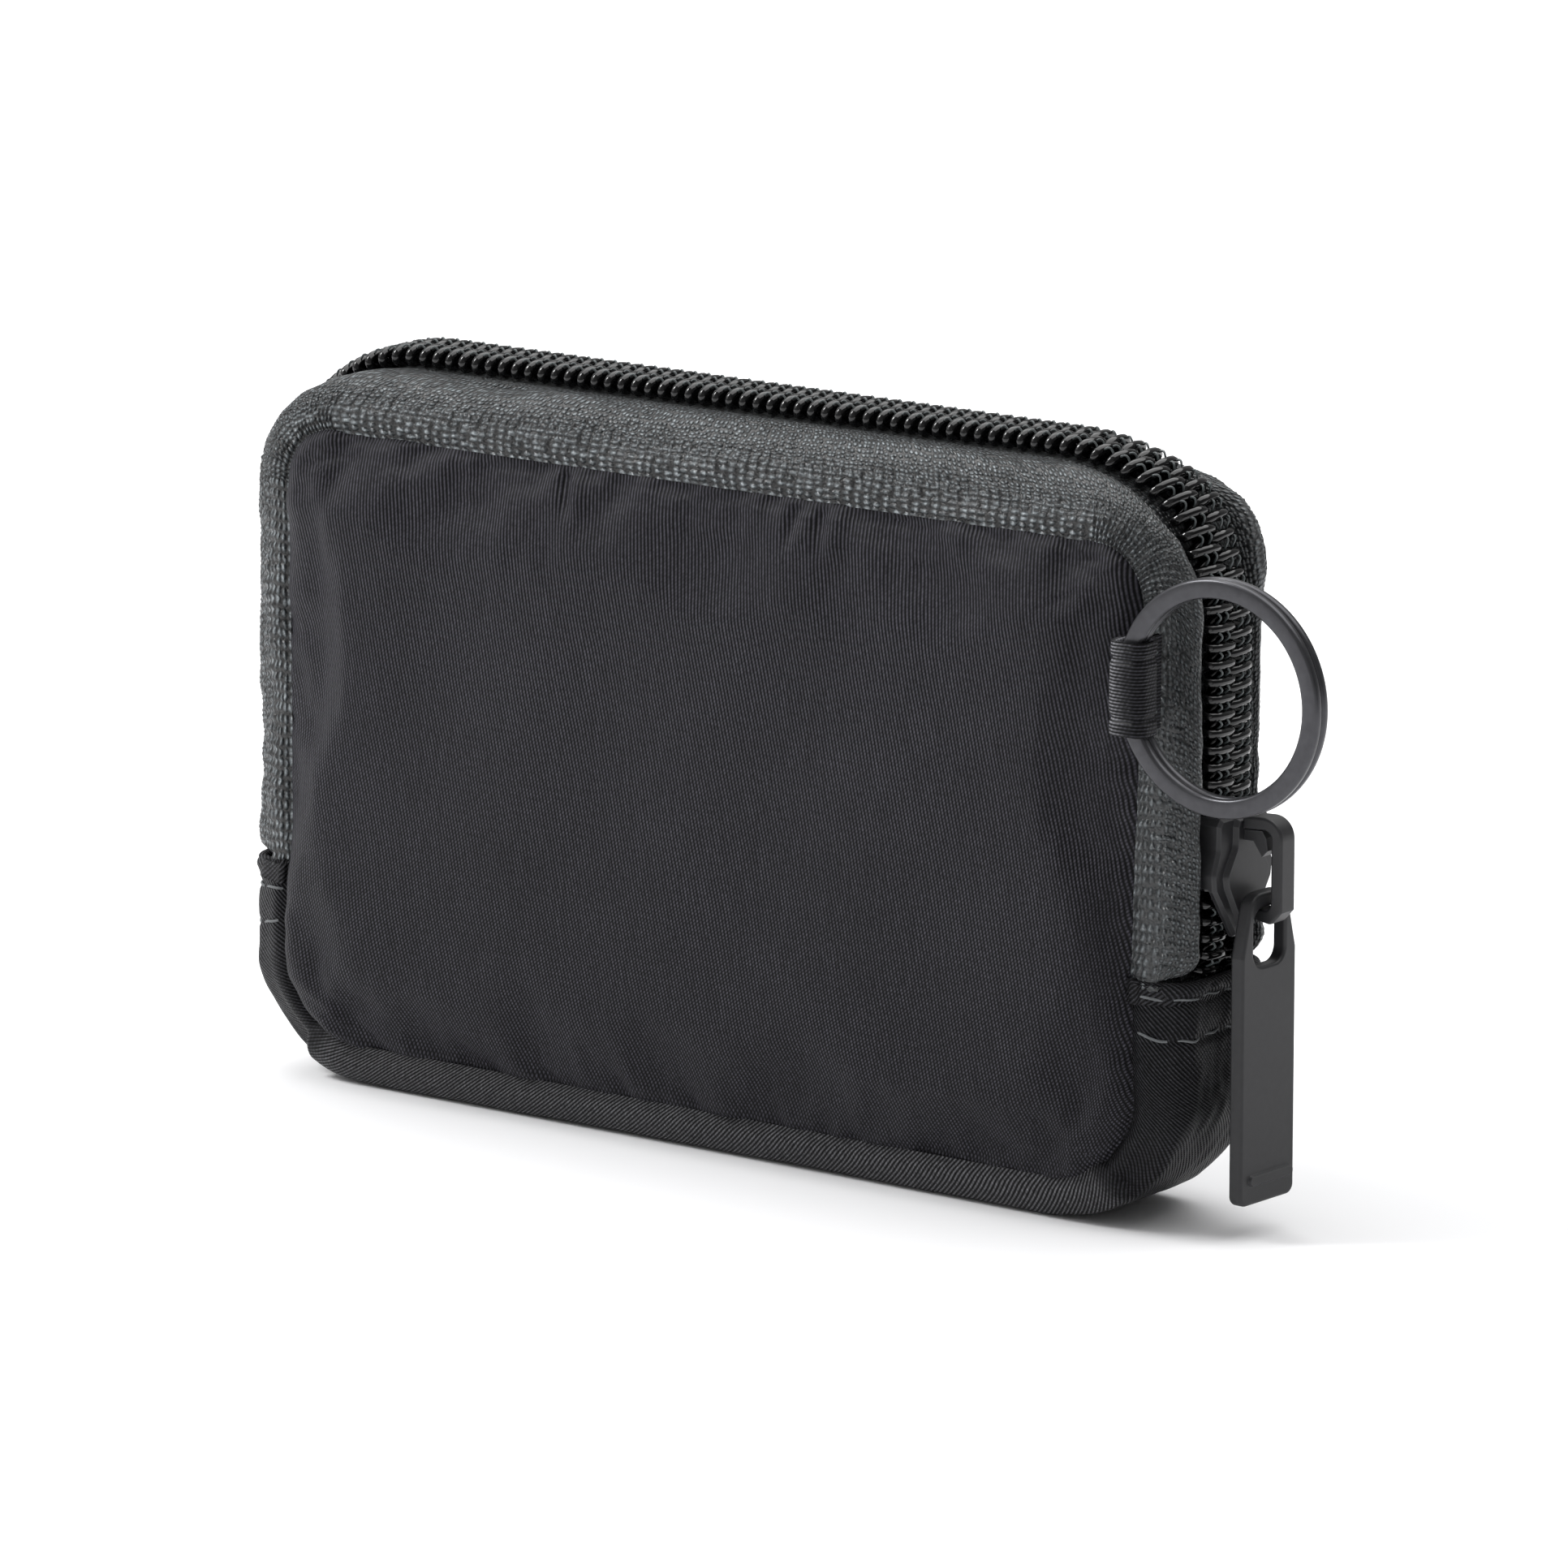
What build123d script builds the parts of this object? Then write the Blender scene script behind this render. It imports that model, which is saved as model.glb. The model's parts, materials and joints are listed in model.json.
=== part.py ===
"""Zippered pouch: two padded nylon panels joined by a gusset.

The gusset is plain twill round the bottom, and two zip tapes with a nylon
coil chain up the right side, over the top and down the left side.  A key
ring hangs from a fabric tab in the front right seam.

Millimetres.  X is the width, Y the depth with the front panel at -Y, and Z
the height.  The origin is under the middle of the bottom gusset, on the
plane that the pouch stands on.
"""

import os
from math import atan2, cos, degrees, hypot, radians, sin

from build123d import *

os.makedirs("parts", exist_ok=True)

# The seam line of each panel: a rounded rectangle, seen from the front.
seam_half_width = 47.4
seam_top = 61.2
seam_bottom = 3.6
seam_depth = 7.4
panel_top_radius = 5.5
panel_bottom_radius = 8.0

# A panel is a fabric skin over foam, with a flat lining behind.
panel_back_depth = 6.9
lining_thickness = 0.25
skin_thickness = 0.45
panel_radius_loss = 0.25
pillow = ((7.0, 0.0), (7.7, 0.25), (8.4, 1.1), (9.0, 3.0), (9.45, 7.0), (9.6, 14.0))

# The bound seam allowance lies inside, flat against each panel lining.
binding_thickness = 1.3
binding_margin = 0.3
binding_width = 5.0

# Sewn edges keep this gap, so that the two halves swing apart freely.
seam_gap = 0.25

# Zip tape sections: half depth, side bulge, top bulge, corner radius.
tape_outside = (
    (7.4, 0.0, 0.0, 5.5),
    (7.0, 1.8, 1.7, 7.5),
    (6.3, 3.3, 3.3, 10.0),
    (5.5, 4.1, 4.4, 12.0),
    (4.9, 2.6, 5.0, 13.5),
    (3.2, 2.6, 5.6, 15.0),
)
tape_inside = (
    (6.75, 0.0, 0.0, 5.5),
    (6.4, 1.5, 1.3, 7.2),
    (5.7, 2.5, 3.1, 10.5),
    (5.2, 2.0, 3.9, 12.5),
    (3.2, 2.0, 5.0, 14.4),
)
tape_edge = 1.0

# Twill gusset sections: half depth, side bulge, bottom bulge, corner radius.
gusset_outside = (
    (7.4, 0.0, 0.0, 8.0),
    (7.0, 1.7, 1.8, 8.6),
    (6.0, 3.2, 3.2, 9.5),
    (4.5, 3.8, 3.6, 10.0),
)
gusset_inside = (
    (6.75, 0.0, 0.0, 8.0),
    (6.4, 1.4, 1.5, 8.4),
    (5.6, 2.6, 2.65, 9.0),
    (4.3, 3.2, 3.0, 9.6),
)
gusset_lining_inside = (
    (6.4, 0.0, 0.0, 8.0),
    (6.15, 1.15, 1.25, 8.2),
    (5.4, 2.35, 2.4, 8.8),
    (4.2, 2.95, 2.75, 9.4),
)
gusset_lining_depth = 6.0

# The twill is folded over the tape ends in a hem on each side.
hem_top_right = 23.0
hem_top_left = 20.2
hem_row_below_top = (1.6, 5.2)
hem_row_below_top_left = (2.7, 6.3)

# Sewing thread.
thread_width = 0.35
thread_height = 0.3

# Nylon coil chain, number 5.
coil_gap = 0.15
coil_half_width = 3.1
coil_height = 2.1
coil_radius_base = 15.0
side_bulge_at_coil = 2.6
top_bulge_at_coil = 5.6
coil_thread_lines = ((0.9, 1.2), (2.3, 2.6))
coil_thread_height = 0.14

# Inside the slider the chain parts: height, and how far each half moves out.
chain_closed_above = 33.0
chain_parting = ((33.0, 0.0), (30.4, 0.7), (26.5, 0.7), (hem_top_right + seam_gap, 0.2))

# Zip slider, on the right side.
slider_top = 37.3
slider_plan = ((3.3, 37.3), (3.8, 36.7), (3.85, 34.6), (4.6, 32.4), (4.4, 31.0), (1.3, 26.5))
slider_boss = ((1.5, 37.1), (1.75, 36.4), (1.8, 34.6), (3.3, 32.3), (3.1, 31.2), (0.9, 27.3))
slider_waist = (31.5, 35.5)
slider_waist_radius = 1.0
slider_post = ((0.0, 31.3), (0.62, 30.3), (0.62, 27.6), (0.0, 27.1))
slider_mouth = 31.2
slider_wall = 0.6
slider_clearance = 0.3
top_plate_thickness = 0.65
boss_height = 0.5
bottom_plate_thickness = 0.8

# Crown over the slider, a D-shaped loop that the pull tab hangs in.
crown_width = 2.2
crown_band = 1.15
crown_reach = 4.1
crown_bottom = 28.0
crown_top = 37.5

# Pull tab.
pull_length = 27.6
pull_width = 7.5
pull_thickness = 1.4
pull_head_bar = 1.3
pull_slot_width = 4.3
pull_slot_length = 5.2
pull_twist = 4.0
pull_reach = 1.6
pull_bar_height = 1.1
pull_bar_above_end = 2.2
pull_bar_relief = 0.25

# Key ring and the fabric tab that holds it.
ring_centre = (58.4, -11.6, 50.2)
ring_outer_radius = 10.35
ring_band = 1.7
ring_thickness = 1.9
ring_groove = 0.22
tab_height = 8.2
tab_centre_height = 50.0
tab_leg_thickness = 1.8
tab_fabric = 0.5
tab_clearance = 0.1
tab_stitch_inset = 1.5


def outline(depth, side, top, bottom, top_radius, bottom_radius):
    """Rounded rectangle at one depth, pushed out from the panel seam line."""
    low = seam_bottom - bottom
    high = seam_top + top
    with BuildSketch(Plane.XZ.offset(-depth)) as sketch:
        with Locations((0, (low + high) / 2)):
            Rectangle(2 * (seam_half_width + side), high - low)
        fillet(sketch.vertices().group_by(Axis.Y)[-1], top_radius)
        fillet(sketch.vertices().group_by(Axis.Y)[0], bottom_radius)
    return sketch.sketch


def inset_outline(depth, inset):
    """Panel outline at one depth, drawn in from the seam line all round."""
    loss = panel_radius_loss * inset
    return outline(
        depth, -inset, -inset, -inset, panel_top_radius - loss, panel_bottom_radius - loss
    )


def both_ways(sections):
    """Sections for a loft from back to front, from those of one half."""
    back = list(sections)
    front = [(-section[0], *section[1:]) for section in reversed(sections)]
    return back + front


def tape_sections(sections):
    return [outline(y, side, top, 0, r, r) for y, side, top, r in both_ways(sections)]


def gusset_sections(sections):
    return [outline(y, side, 0, bottom, r, r) for y, side, bottom, r in both_ways(sections)]


def hem_block(side, low, high):
    """Box over one side of the pouch (-1 left, 1 right) between two heights."""
    reach = 70.0
    with BuildPart() as block:
        with Locations((side * reach / 2, 0, (low + high) / 2)):
            Box(reach, reach, high - low)
    return block.part


def panel_openings():
    """The two holes that the panels fill, a seam gap wider than a panel."""
    hole_depth = 1.5
    with BuildPart() as holes:
        with BuildSketch(Plane.XZ.offset(-8.0)):
            add(outline(0, seam_gap, seam_gap, seam_gap, panel_top_radius, panel_bottom_radius))
        extrude(amount=hole_depth)
        mirror(about=Plane.XZ)
    return holes.part


def split_chain_band(near, far, floor, height):
    """Stretch of chain below the closed part, parting round the slider post."""
    inner = [(near + shift, z) for z, shift in chain_parting]
    outer = [(far + shift, z) for z, shift in reversed(chain_parting)]
    with BuildPart() as stretch:
        with BuildSketch(Plane.YZ.offset(floor)):
            with BuildLine():
                Polyline(*inner, *outer, close=True)
            make_face()
        extrude(amount=height)
    return stretch.part


def chain_band(near, far, rise, height):
    """Band that follows the zip over the top, from hem to hem, at one depth."""
    side = side_bulge_at_coil + rise
    top = top_bulge_at_coil + rise
    radius = coil_radius_base + rise
    with BuildPart() as band:
        extrude(outline(near, side + height, top + height, 0, radius + height, 8), near - far)
        extrude(outline(near, side, top, 0, radius, 8), near - far, mode=Mode.SUBTRACT)
        add(hem_block(1, -10, chain_closed_above), mode=Mode.SUBTRACT)
        add(hem_block(-1, -10, hem_top_left + seam_gap), mode=Mode.SUBTRACT)
        add(split_chain_band(near, far, seam_half_width + side, height))
    return band.part


def slider_outline(points):
    """Symmetrical sketch on the side of the pouch from one half's points."""
    with BuildSketch() as sketch:
        with BuildLine():
            Polyline(*points, *[(-y, z) for y, z in reversed(points) if y > 0], close=True)
        make_face()
        waist = [v for v in sketch.vertices() if slider_waist[0] < v.Y < slider_waist[1]]
        fillet(waist, slider_waist_radius)
    return sketch.sketch


def stitch_row(side, height, face):
    """Five stitches across the gusset, the end ones on its rounded edges."""
    edge_tilt = degrees(atan2(0.6, 1.5))
    flat_stitches = ((-3.1, 2.5), (0.0, 2.5), (3.1, 2.5))
    with BuildPart() as row:
        for y, length in flat_stitches:
            with Locations((side * (face + thread_height / 2), y, height)):
                Box(thread_height, length, thread_width)
        for end in (-1, 1):
            slope = hypot(0.6, 1.5)
            lift_x = thread_height / 2 * 1.5 / slope
            lift_y = thread_height / 2 * 0.6 / slope
            spot = (side * (face - 0.3 + lift_x), end * (5.25 + lift_y), height)
            with Locations(Location(spot, (0, 0, side * end * edge_tilt))):
                Box(thread_height, 1.3, thread_width)
    return row.part


# Panels.
panel_holes = panel_openings()
foam_stations = [(panel_back_depth, skin_thickness)]
foam_stations += [(y - skin_thickness, inset + skin_thickness) for y, inset in pillow[1:]]

with BuildPart() as back_foam:
    loft([inset_outline(y, inset) for y, inset in foam_stations], ruled=True)

with BuildPart() as back_panel:
    loft([inset_outline(y, inset) for y, inset in pillow], ruled=True)
    add(back_foam.part, mode=Mode.SUBTRACT)

with BuildPart() as back_lining:
    extrude(inset_outline(panel_back_depth, skin_thickness), lining_thickness)

with BuildPart() as back_seam_binding:
    binding_depth = panel_back_depth - lining_thickness
    extrude(inset_outline(binding_depth, binding_margin), binding_thickness)
    extrude(
        inset_outline(binding_depth, binding_margin + binding_width),
        binding_thickness,
        mode=Mode.SUBTRACT,
    )

# Twill gusset round the bottom, with its lining.
with BuildPart() as lower_gusset:
    loft(gusset_sections(gusset_outside), ruled=True)
    loft(gusset_sections(gusset_inside), ruled=True, mode=Mode.SUBTRACT)
    add(panel_holes, mode=Mode.SUBTRACT)
    add(hem_block(1, hem_top_right, 90), mode=Mode.SUBTRACT)
    add(hem_block(-1, hem_top_left, 90), mode=Mode.SUBTRACT)

with BuildPart() as gusset_lining:
    loft(gusset_sections(gusset_inside), ruled=True)
    loft(gusset_sections(gusset_lining_inside), ruled=True, mode=Mode.SUBTRACT)
    split(bisect_by=Plane.XZ.offset(-gusset_lining_depth), keep=Keep.TOP)
    split(bisect_by=Plane.XZ.offset(gusset_lining_depth), keep=Keep.BOTTOM)
    add(hem_block(1, hem_top_right, 90), mode=Mode.SUBTRACT)
    add(hem_block(-1, hem_top_left, 90), mode=Mode.SUBTRACT)

# Zip tape and its half of the chain.
with BuildPart() as zipper_tape_back:
    loft(tape_sections(tape_outside), ruled=True)
    loft(tape_sections(tape_inside), ruled=True, mode=Mode.SUBTRACT)
    add(panel_holes, mode=Mode.SUBTRACT)
    split(bisect_by=Plane.XZ.offset(-tape_edge), keep=Keep.BOTTOM)
    add(hem_block(1, -10, hem_top_right + seam_gap), mode=Mode.SUBTRACT)
    add(hem_block(-1, -10, hem_top_left + seam_gap), mode=Mode.SUBTRACT)

with BuildPart() as zipper_coil_back:
    add(chain_band(coil_gap, coil_half_width, 0, coil_height))

with BuildPart() as coil_sewing_back:
    for thread_near, thread_far in coil_thread_lines:
        add(chain_band(thread_near, thread_far, coil_height, coil_thread_height))

# The front half mirrors the back half.
back_pieces = {
    "panel": back_panel,
    "foam": back_foam,
    "lining": back_lining,
    "seam_binding": back_seam_binding,
}
zip_pieces = {
    "zipper_tape": zipper_tape_back,
    "zipper_coil": zipper_coil_back,
    "coil_sewing": coil_sewing_back,
}
for name, back in back_pieces.items():
    with BuildPart() as front:
        mirror(back.part, about=Plane.XZ)
    back.part.label = f"back_{name}"
    front.part.label = f"front_{name}"
    export_step(back.part, f"parts/back_{name}.step")
    export_step(front.part, f"parts/front_{name}.step")
for name, back in zip_pieces.items():
    with BuildPart() as front:
        mirror(back.part, about=Plane.XZ)
    back.part.label = f"{name}_back"
    front.part.label = f"{name}_front"
    export_step(back.part, f"parts/{name}_back.step")
    export_step(front.part, f"parts/{name}_front.step")

lower_gusset.part.label = "lower_gusset"
export_step(lower_gusset.part, "parts/lower_gusset.step")
gusset_lining.part.label = "gusset_lining"
export_step(gusset_lining.part, "parts/gusset_lining.step")

# Two stitched rows hold each hem.
gusset_face = seam_half_width + gusset_outside[-1][1]
with BuildPart() as hem_stitches_right:
    for drop in hem_row_below_top:
        add(stitch_row(1, hem_top_right - drop, gusset_face))
hem_stitches_right.part.label = "hem_stitches_right"
export_step(hem_stitches_right.part, "parts/hem_stitches_right.step")

with BuildPart() as hem_stitches_left:
    for drop in hem_row_below_top_left:
        add(stitch_row(-1, hem_top_left - drop, gusset_face))
hem_stitches_left.part.label = "hem_stitches_left"
export_step(hem_stitches_left.part, "parts/hem_stitches_left.step")

# Slider: a top plate with side walls, a post, and a bottom plate inside.
tape_face = seam_half_width + side_bulge_at_coil
tape_back_face = seam_half_width + tape_inside[-1][1]
plate_floor = tape_face + coil_height + slider_clearance
plate_face = plate_floor + top_plate_thickness
boss_face = plate_face + boss_height
wall_foot = tape_face + slider_clearance
bottom_plate_face = tape_back_face - slider_clearance
bottom_plate_floor = bottom_plate_face - bottom_plate_thickness

with BuildPart() as slider_body:
    with BuildSketch(Plane.YZ.offset(wall_foot)):
        add(slider_outline(slider_plan))
        offset(amount=-slider_wall, kind=Kind.INTERSECTION, mode=Mode.SUBTRACT)
        with Locations((0, slider_mouth - 10)):
            Rectangle(20, 20, mode=Mode.SUBTRACT)
        with Locations((0, slider_top)):
            Rectangle(2 * (coil_half_width + coil_gap), 4, mode=Mode.SUBTRACT)
    extrude(amount=plate_floor - wall_foot)
    with BuildSketch(Plane.YZ.offset(plate_floor)):
        add(slider_outline(slider_plan))
    extrude(amount=top_plate_thickness)
    chamfer(slider_body.faces().sort_by(Axis.X)[-1].edges(), 0.3)
    with BuildSketch(Plane.YZ.offset(plate_face)):
        add(slider_outline(slider_boss))
    extrude(amount=boss_height, taper=25)
    with BuildSketch(Plane.YZ.offset(bottom_plate_floor)):
        add(slider_outline(slider_plan))
    extrude(amount=bottom_plate_thickness)
    with BuildSketch(Plane.YZ.offset(bottom_plate_floor)):
        add(slider_outline(slider_post))
    extrude(amount=plate_face - bottom_plate_floor)
slider_body.part.label = "slider_body"
export_step(slider_body.part, "parts/slider_body.step")

# Crown: the loop stands on the boss, open sideways for the pull tab.
crown_out = boss_face + crown_reach
with BuildPart() as slider_crown:
    with BuildSketch(Plane.XZ.offset(-crown_width / 2)) as crown_side:
        with BuildLine():
            Polyline(
                (boss_face, crown_bottom + 0.5),
                (crown_out - 1.1, crown_bottom),
                (crown_out, crown_bottom + 1.2),
                (crown_out, crown_top),
                (boss_face, crown_top - 0.2),
                close=True,
            )
        make_face()
        fillet(crown_side.vertices().group_by(Axis.Y)[-1], 1.9)
        fillet(crown_side.vertices().group_by(Axis.Y)[0], 0.7)
    extrude(amount=crown_width)
    with BuildSketch(Plane.XZ.offset(-crown_width / 2)) as crown_hole:
        with BuildLine():
            Polyline(
                (boss_face, crown_bottom + crown_band + 0.2),
                (crown_out - crown_band, crown_bottom + crown_band),
                (crown_out - crown_band, crown_top - crown_band),
                (boss_face, crown_top - crown_band - 0.2),
                close=True,
            )
        make_face()
        rounded = [v for v in crown_hole.vertices() if v.X > boss_face + 1]
        fillet(rounded, 0.8)
    extrude(amount=crown_width, mode=Mode.SUBTRACT)
    fillet(slider_crown.faces().group_by(Axis.Y)[0].edges(), 0.25)
    fillet(slider_crown.faces().group_by(Axis.Y)[-1].edges(), 0.25)
slider_crown.part.label = "slider_crown"
export_step(slider_crown.part, "parts/slider_crown.step")

# Lock spring: the sprung pawl under the crown, in its upper corner.
spring_width = 1.5
with BuildPart() as slider_lock_spring:
    with BuildSketch(Plane.XZ.offset(-spring_width / 2)):
        with BuildLine():
            high = crown_top - crown_band - 0.3
            out = crown_out - crown_band - 1.1
            Polyline((out, high - 2.2), (out - 0.9, high - 0.9), (boss_face, high - 0.9))
            Line((boss_face, high - 0.9), (boss_face, high))
            Polyline((boss_face, high), (out, high + 0.1), (out + 0.4, high - 0.5))
            Polyline((out + 0.4, high - 0.5), (out + 0.6, high - 1.6), (out, high - 2.2))
        make_face()
    extrude(amount=spring_width)
slider_lock_spring.part.label = "slider_lock_spring"
export_step(slider_lock_spring.part, "parts/slider_lock_spring.step")

# Pull tab: it hangs by its head bar from the bottom of the crown.
pull_pivot = (boss_face + pull_reach, 0, crown_bottom + crown_band + 0.95)
twist = radians(pull_twist)
pull_plane = Plane(pull_pivot, x_dir=(sin(twist), cos(twist), 0), z_dir=(cos(twist), -sin(twist), 0))
head_top = pull_head_bar / 2
pull_end = head_top - pull_length
half_width = pull_width / 2
with BuildPart() as pull_tab:
    with BuildSketch(pull_plane.offset(-pull_thickness / 2)) as pull_side:
        with BuildLine():
            Polyline(
                (-half_width, pull_end),
                (half_width, pull_end),
                (half_width, -4.8),
                (2.4, head_top),
                (-2.4, head_top),
                (-half_width, -4.8),
                close=True,
            )
        make_face()
        fillet(pull_side.vertices().group_by(Axis.Y)[0], 0.9)
        fillet(pull_side.vertices().group_by(Axis.Y)[-1], 1.7)
        with Locations((0, -head_top - pull_slot_length / 2)):
            RectangleRounded(pull_slot_width, pull_slot_length, 1.3, mode=Mode.SUBTRACT)
    extrude(amount=pull_thickness)
    fillet(pull_tab.edges().filter_by(GeomType.LINE).filter_by(pull_plane), 0.3)
    with BuildSketch(pull_plane.offset(pull_thickness / 2)):
        with Locations((0.35, pull_end + pull_bar_above_end)):
            RectangleRounded(pull_width - 1.4, pull_bar_height, 0.5)
    extrude(amount=pull_bar_relief, taper=30)
pull_tab.part.label = "pull_tab"
export_step(pull_tab.part, "parts/pull_tab.step")

# Key ring: two flat turns, with a groove between them inside and out.
ring_axis = Axis((ring_centre[0], 0, ring_centre[2]), (0, 1, 0))
ring_section = Plane.XY.offset(ring_centre[2])
ring_left = ring_centre[0] - ring_outer_radius
limb_x = ring_left + ring_band / 2
with BuildPart() as key_ring:
    with BuildSketch(ring_section):
        for turn in (-1, 1):
            with Locations((limb_x, ring_centre[1] + turn * ring_thickness / 4)):
                RectangleRounded(ring_band, ring_thickness / 2, 0.3)
        with Locations((limb_x, ring_centre[1])):
            Rectangle(ring_band - 2 * ring_groove, ring_thickness / 2)
    revolve(axis=ring_axis)
key_ring.part.label = "key_ring"
export_step(key_ring.part, "parts/key_ring.step")

# Key tab: a folded strip whose bend takes the ring, with a round root that
# turns beside the seam.
leg_round = tab_leg_thickness / 2
tab_root = -seam_depth - leg_round - 0.1
sleeve_x = ring_band + 2 * tab_clearance
sleeve_y = ring_thickness + 2 * tab_clearance
with BuildPart() as key_tab:
    with BuildSketch(ring_section):
        with Locations((limb_x, ring_centre[1])):
            RectangleRounded(sleeve_x + 2 * tab_fabric, sleeve_y + 2 * tab_fabric, 1.2)
    revolve(axis=ring_axis)
    with Locations((limb_x, (tab_root + ring_centre[1]) / 2, tab_centre_height)):
        Box(tab_leg_thickness, tab_root - ring_centre[1], tab_height)
    with Locations((limb_x, tab_root, tab_centre_height)):
        Cylinder(leg_round, tab_height)
    with Locations((limb_x, ring_centre[1], tab_centre_height)):
        Box(6, 12, tab_height, mode=Mode.INTERSECT)
    with BuildSketch(ring_section):
        with Locations((limb_x, ring_centre[1])):
            RectangleRounded(sleeve_x, sleeve_y, 0.3)
    revolve(axis=ring_axis, mode=Mode.SUBTRACT)
key_tab.part.label = "key_tab"
export_step(key_tab.part, "parts/key_tab.step")

tab_stitch_length = 0.9
with BuildPart() as key_tab_stitches:
    for face in (-1, 1):
        for end in (-1, 1):
            x = limb_x + face * (leg_round + thread_height / 2)
            z = tab_centre_height + end * (tab_height / 2 - tab_stitch_inset)
            with Locations((x, tab_root - 0.6, z)):
                Box(thread_height, tab_stitch_length, thread_width)
key_tab_stitches.part.label = "key_tab_stitches"
export_step(key_tab_stitches.part, "parts/key_tab_stitches.step")
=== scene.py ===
# %% [markdown]
# # A zippered pouch
#
# The pouch is two padded nylon panels joined by a narrow gusset: plain twill
# round the bottom, and two zip tapes up the sides and over the top.  The CAD
# frame already holds every part's place, so this file only makes the looks:
# cloth that bulges and puckers, a real coil chain, thread, paint and metal.

# %% Load the frame and keep its box
import json

import bpy
import numpy as np
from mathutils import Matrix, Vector


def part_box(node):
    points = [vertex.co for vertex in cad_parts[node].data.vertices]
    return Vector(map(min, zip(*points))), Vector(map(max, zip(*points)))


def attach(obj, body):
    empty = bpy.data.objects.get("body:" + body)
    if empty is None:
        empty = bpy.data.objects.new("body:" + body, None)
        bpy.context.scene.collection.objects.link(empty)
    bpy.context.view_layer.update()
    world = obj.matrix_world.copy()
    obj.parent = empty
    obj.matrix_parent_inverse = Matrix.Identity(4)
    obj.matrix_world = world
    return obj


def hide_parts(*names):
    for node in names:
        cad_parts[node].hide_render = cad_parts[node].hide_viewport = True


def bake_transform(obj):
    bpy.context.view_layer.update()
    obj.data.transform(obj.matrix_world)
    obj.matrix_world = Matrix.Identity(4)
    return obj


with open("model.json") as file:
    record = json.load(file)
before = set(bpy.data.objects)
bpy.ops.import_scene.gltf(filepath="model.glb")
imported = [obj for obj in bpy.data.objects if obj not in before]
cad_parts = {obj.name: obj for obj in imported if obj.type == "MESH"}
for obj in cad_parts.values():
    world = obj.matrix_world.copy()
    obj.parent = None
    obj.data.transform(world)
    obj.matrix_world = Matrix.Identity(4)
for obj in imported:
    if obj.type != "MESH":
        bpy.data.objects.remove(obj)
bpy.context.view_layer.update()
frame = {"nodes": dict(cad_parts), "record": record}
MM = 0.001

# %% [markdown]
# ## Sizes read from the frame
#
# Every shape below hangs on the seam line, a rounded rectangle where each
# panel is sewn in.  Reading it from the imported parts, instead of typing it
# again, keeps the cloth on the frame if the pouch is ever resized.


# %% The seam line, in millimetres
def box_mm(node):
    low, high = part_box(node)
    return np.array(low) / MM, np.array(high) / MM


panel_low, panel_high = box_mm("back_panel")
joints = {joint["name"]: joint for joint in frame["record"]["behaviour"]["joints"]}
seam_half = panel_high[0]
seam_top = panel_high[2]
seam_bottom = panel_low[2]
hem_right = box_mm("lower_gusset")[1][2]
tape_under_hem = 0.25
hem_left = box_mm("zipper_tape_back")[0][2] - tape_under_hem
print("hem tops", round(hem_left, 2), round(hem_right, 2))

# %% [markdown]
# ## Helpers for materials
#
# A material here is a small network that turns a place on the cloth into a
# colour, a roughness and a bump.  One function adds a node with its settings
# and its links, so each network reads as a list: a node given as an input is
# linked by its first output.  Colours are written as the familiar hex values
# and turned to the linear light that the renderer uses.


# %% Colour and node helpers
def linear(hex_colour):
    """Linear RGBA from an sRGB hex value."""
    channels = [int(hex_colour[i : i + 2], 16) / 255 for i in (1, 3, 5)]
    return [c / 12.92 if c <= 0.04045 else ((c + 0.055) / 1.055) ** 2.4 for c in channels] + [1]


def add(tree, kind, inputs=(), **settings):
    """A new node; inputs are values to set, or nodes and outputs to link from."""
    node = tree.nodes.new("ShaderNode" + kind)
    for key, value in settings.items():
        setattr(node, key, value)
    for socket, value in inputs.items() if isinstance(inputs, dict) else enumerate(inputs):
        if isinstance(value, bpy.types.Node):
            value = value.outputs[0]
        if isinstance(value, bpy.types.NodeSocket):
            tree.links.new(value, node.inputs[socket])
        else:
            node.inputs[socket].default_value = value
    return node


def new_material(name):
    """An empty material and its tree, with the output node in place."""
    material = bpy.data.materials.new(name)
    material.use_nodes = True
    tree = material.node_tree
    tree.nodes.clear()
    return material, tree, add(tree, "OutputMaterial")


print("#3a3a40 in linear light:", [round(c, 3) for c in linear("#3a3a40")])

# %% [markdown]
# ## Nylon twill
#
# The panels, the lower gusset and the key tab are nylon twill: fine yarns
# woven so that ribs run along the cloth, about 0.36 mm apart.  The eye reads
# it as a dark grey with a soft sheen and thin lines.  Stretched noise would
# be random; a twill is regular, so a sine across the ribs and a second along
# them make the yarns, from a `weave` attribute in millimetres that each mesh
# carries.  Noise comes in only for what is uneven on real cloth: ribs that
# wander, thick and thin yarns, and broad faded patches.


# %% Twill material
def grating(tree, place, along_turns, across_turns, wander):
    """A wave over the weave, 0 to 1, with so many turns per millimetre each way."""
    along = add(tree, "Math", [place.outputs["X"], 2 * np.pi * along_turns], operation="MULTIPLY")
    across = add(tree, "Math", [place.outputs["Y"], 2 * np.pi * across_turns], operation="MULTIPLY")
    turned = add(tree, "Math", [along, across], operation="ADD")
    phase = add(tree, "Math", [turned, wander], operation="ADD")
    wave = add(tree, "Math", [phase], operation="SINE")
    return add(tree, "Math", [wave, 0.5, 0.5], operation="MULTIPLY_ADD")


# %% [markdown]
# The twill itself mixes two such waves: smooth ribs, and ribs broken into
# dots by the yarns that cross them.  The mix drives the bump, and the colour
# as well: the grooves between ribs are painted near black, as painted shade.

# %% The twill finish
even_dots = (0, 1, 0.25, 0.25)


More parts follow.
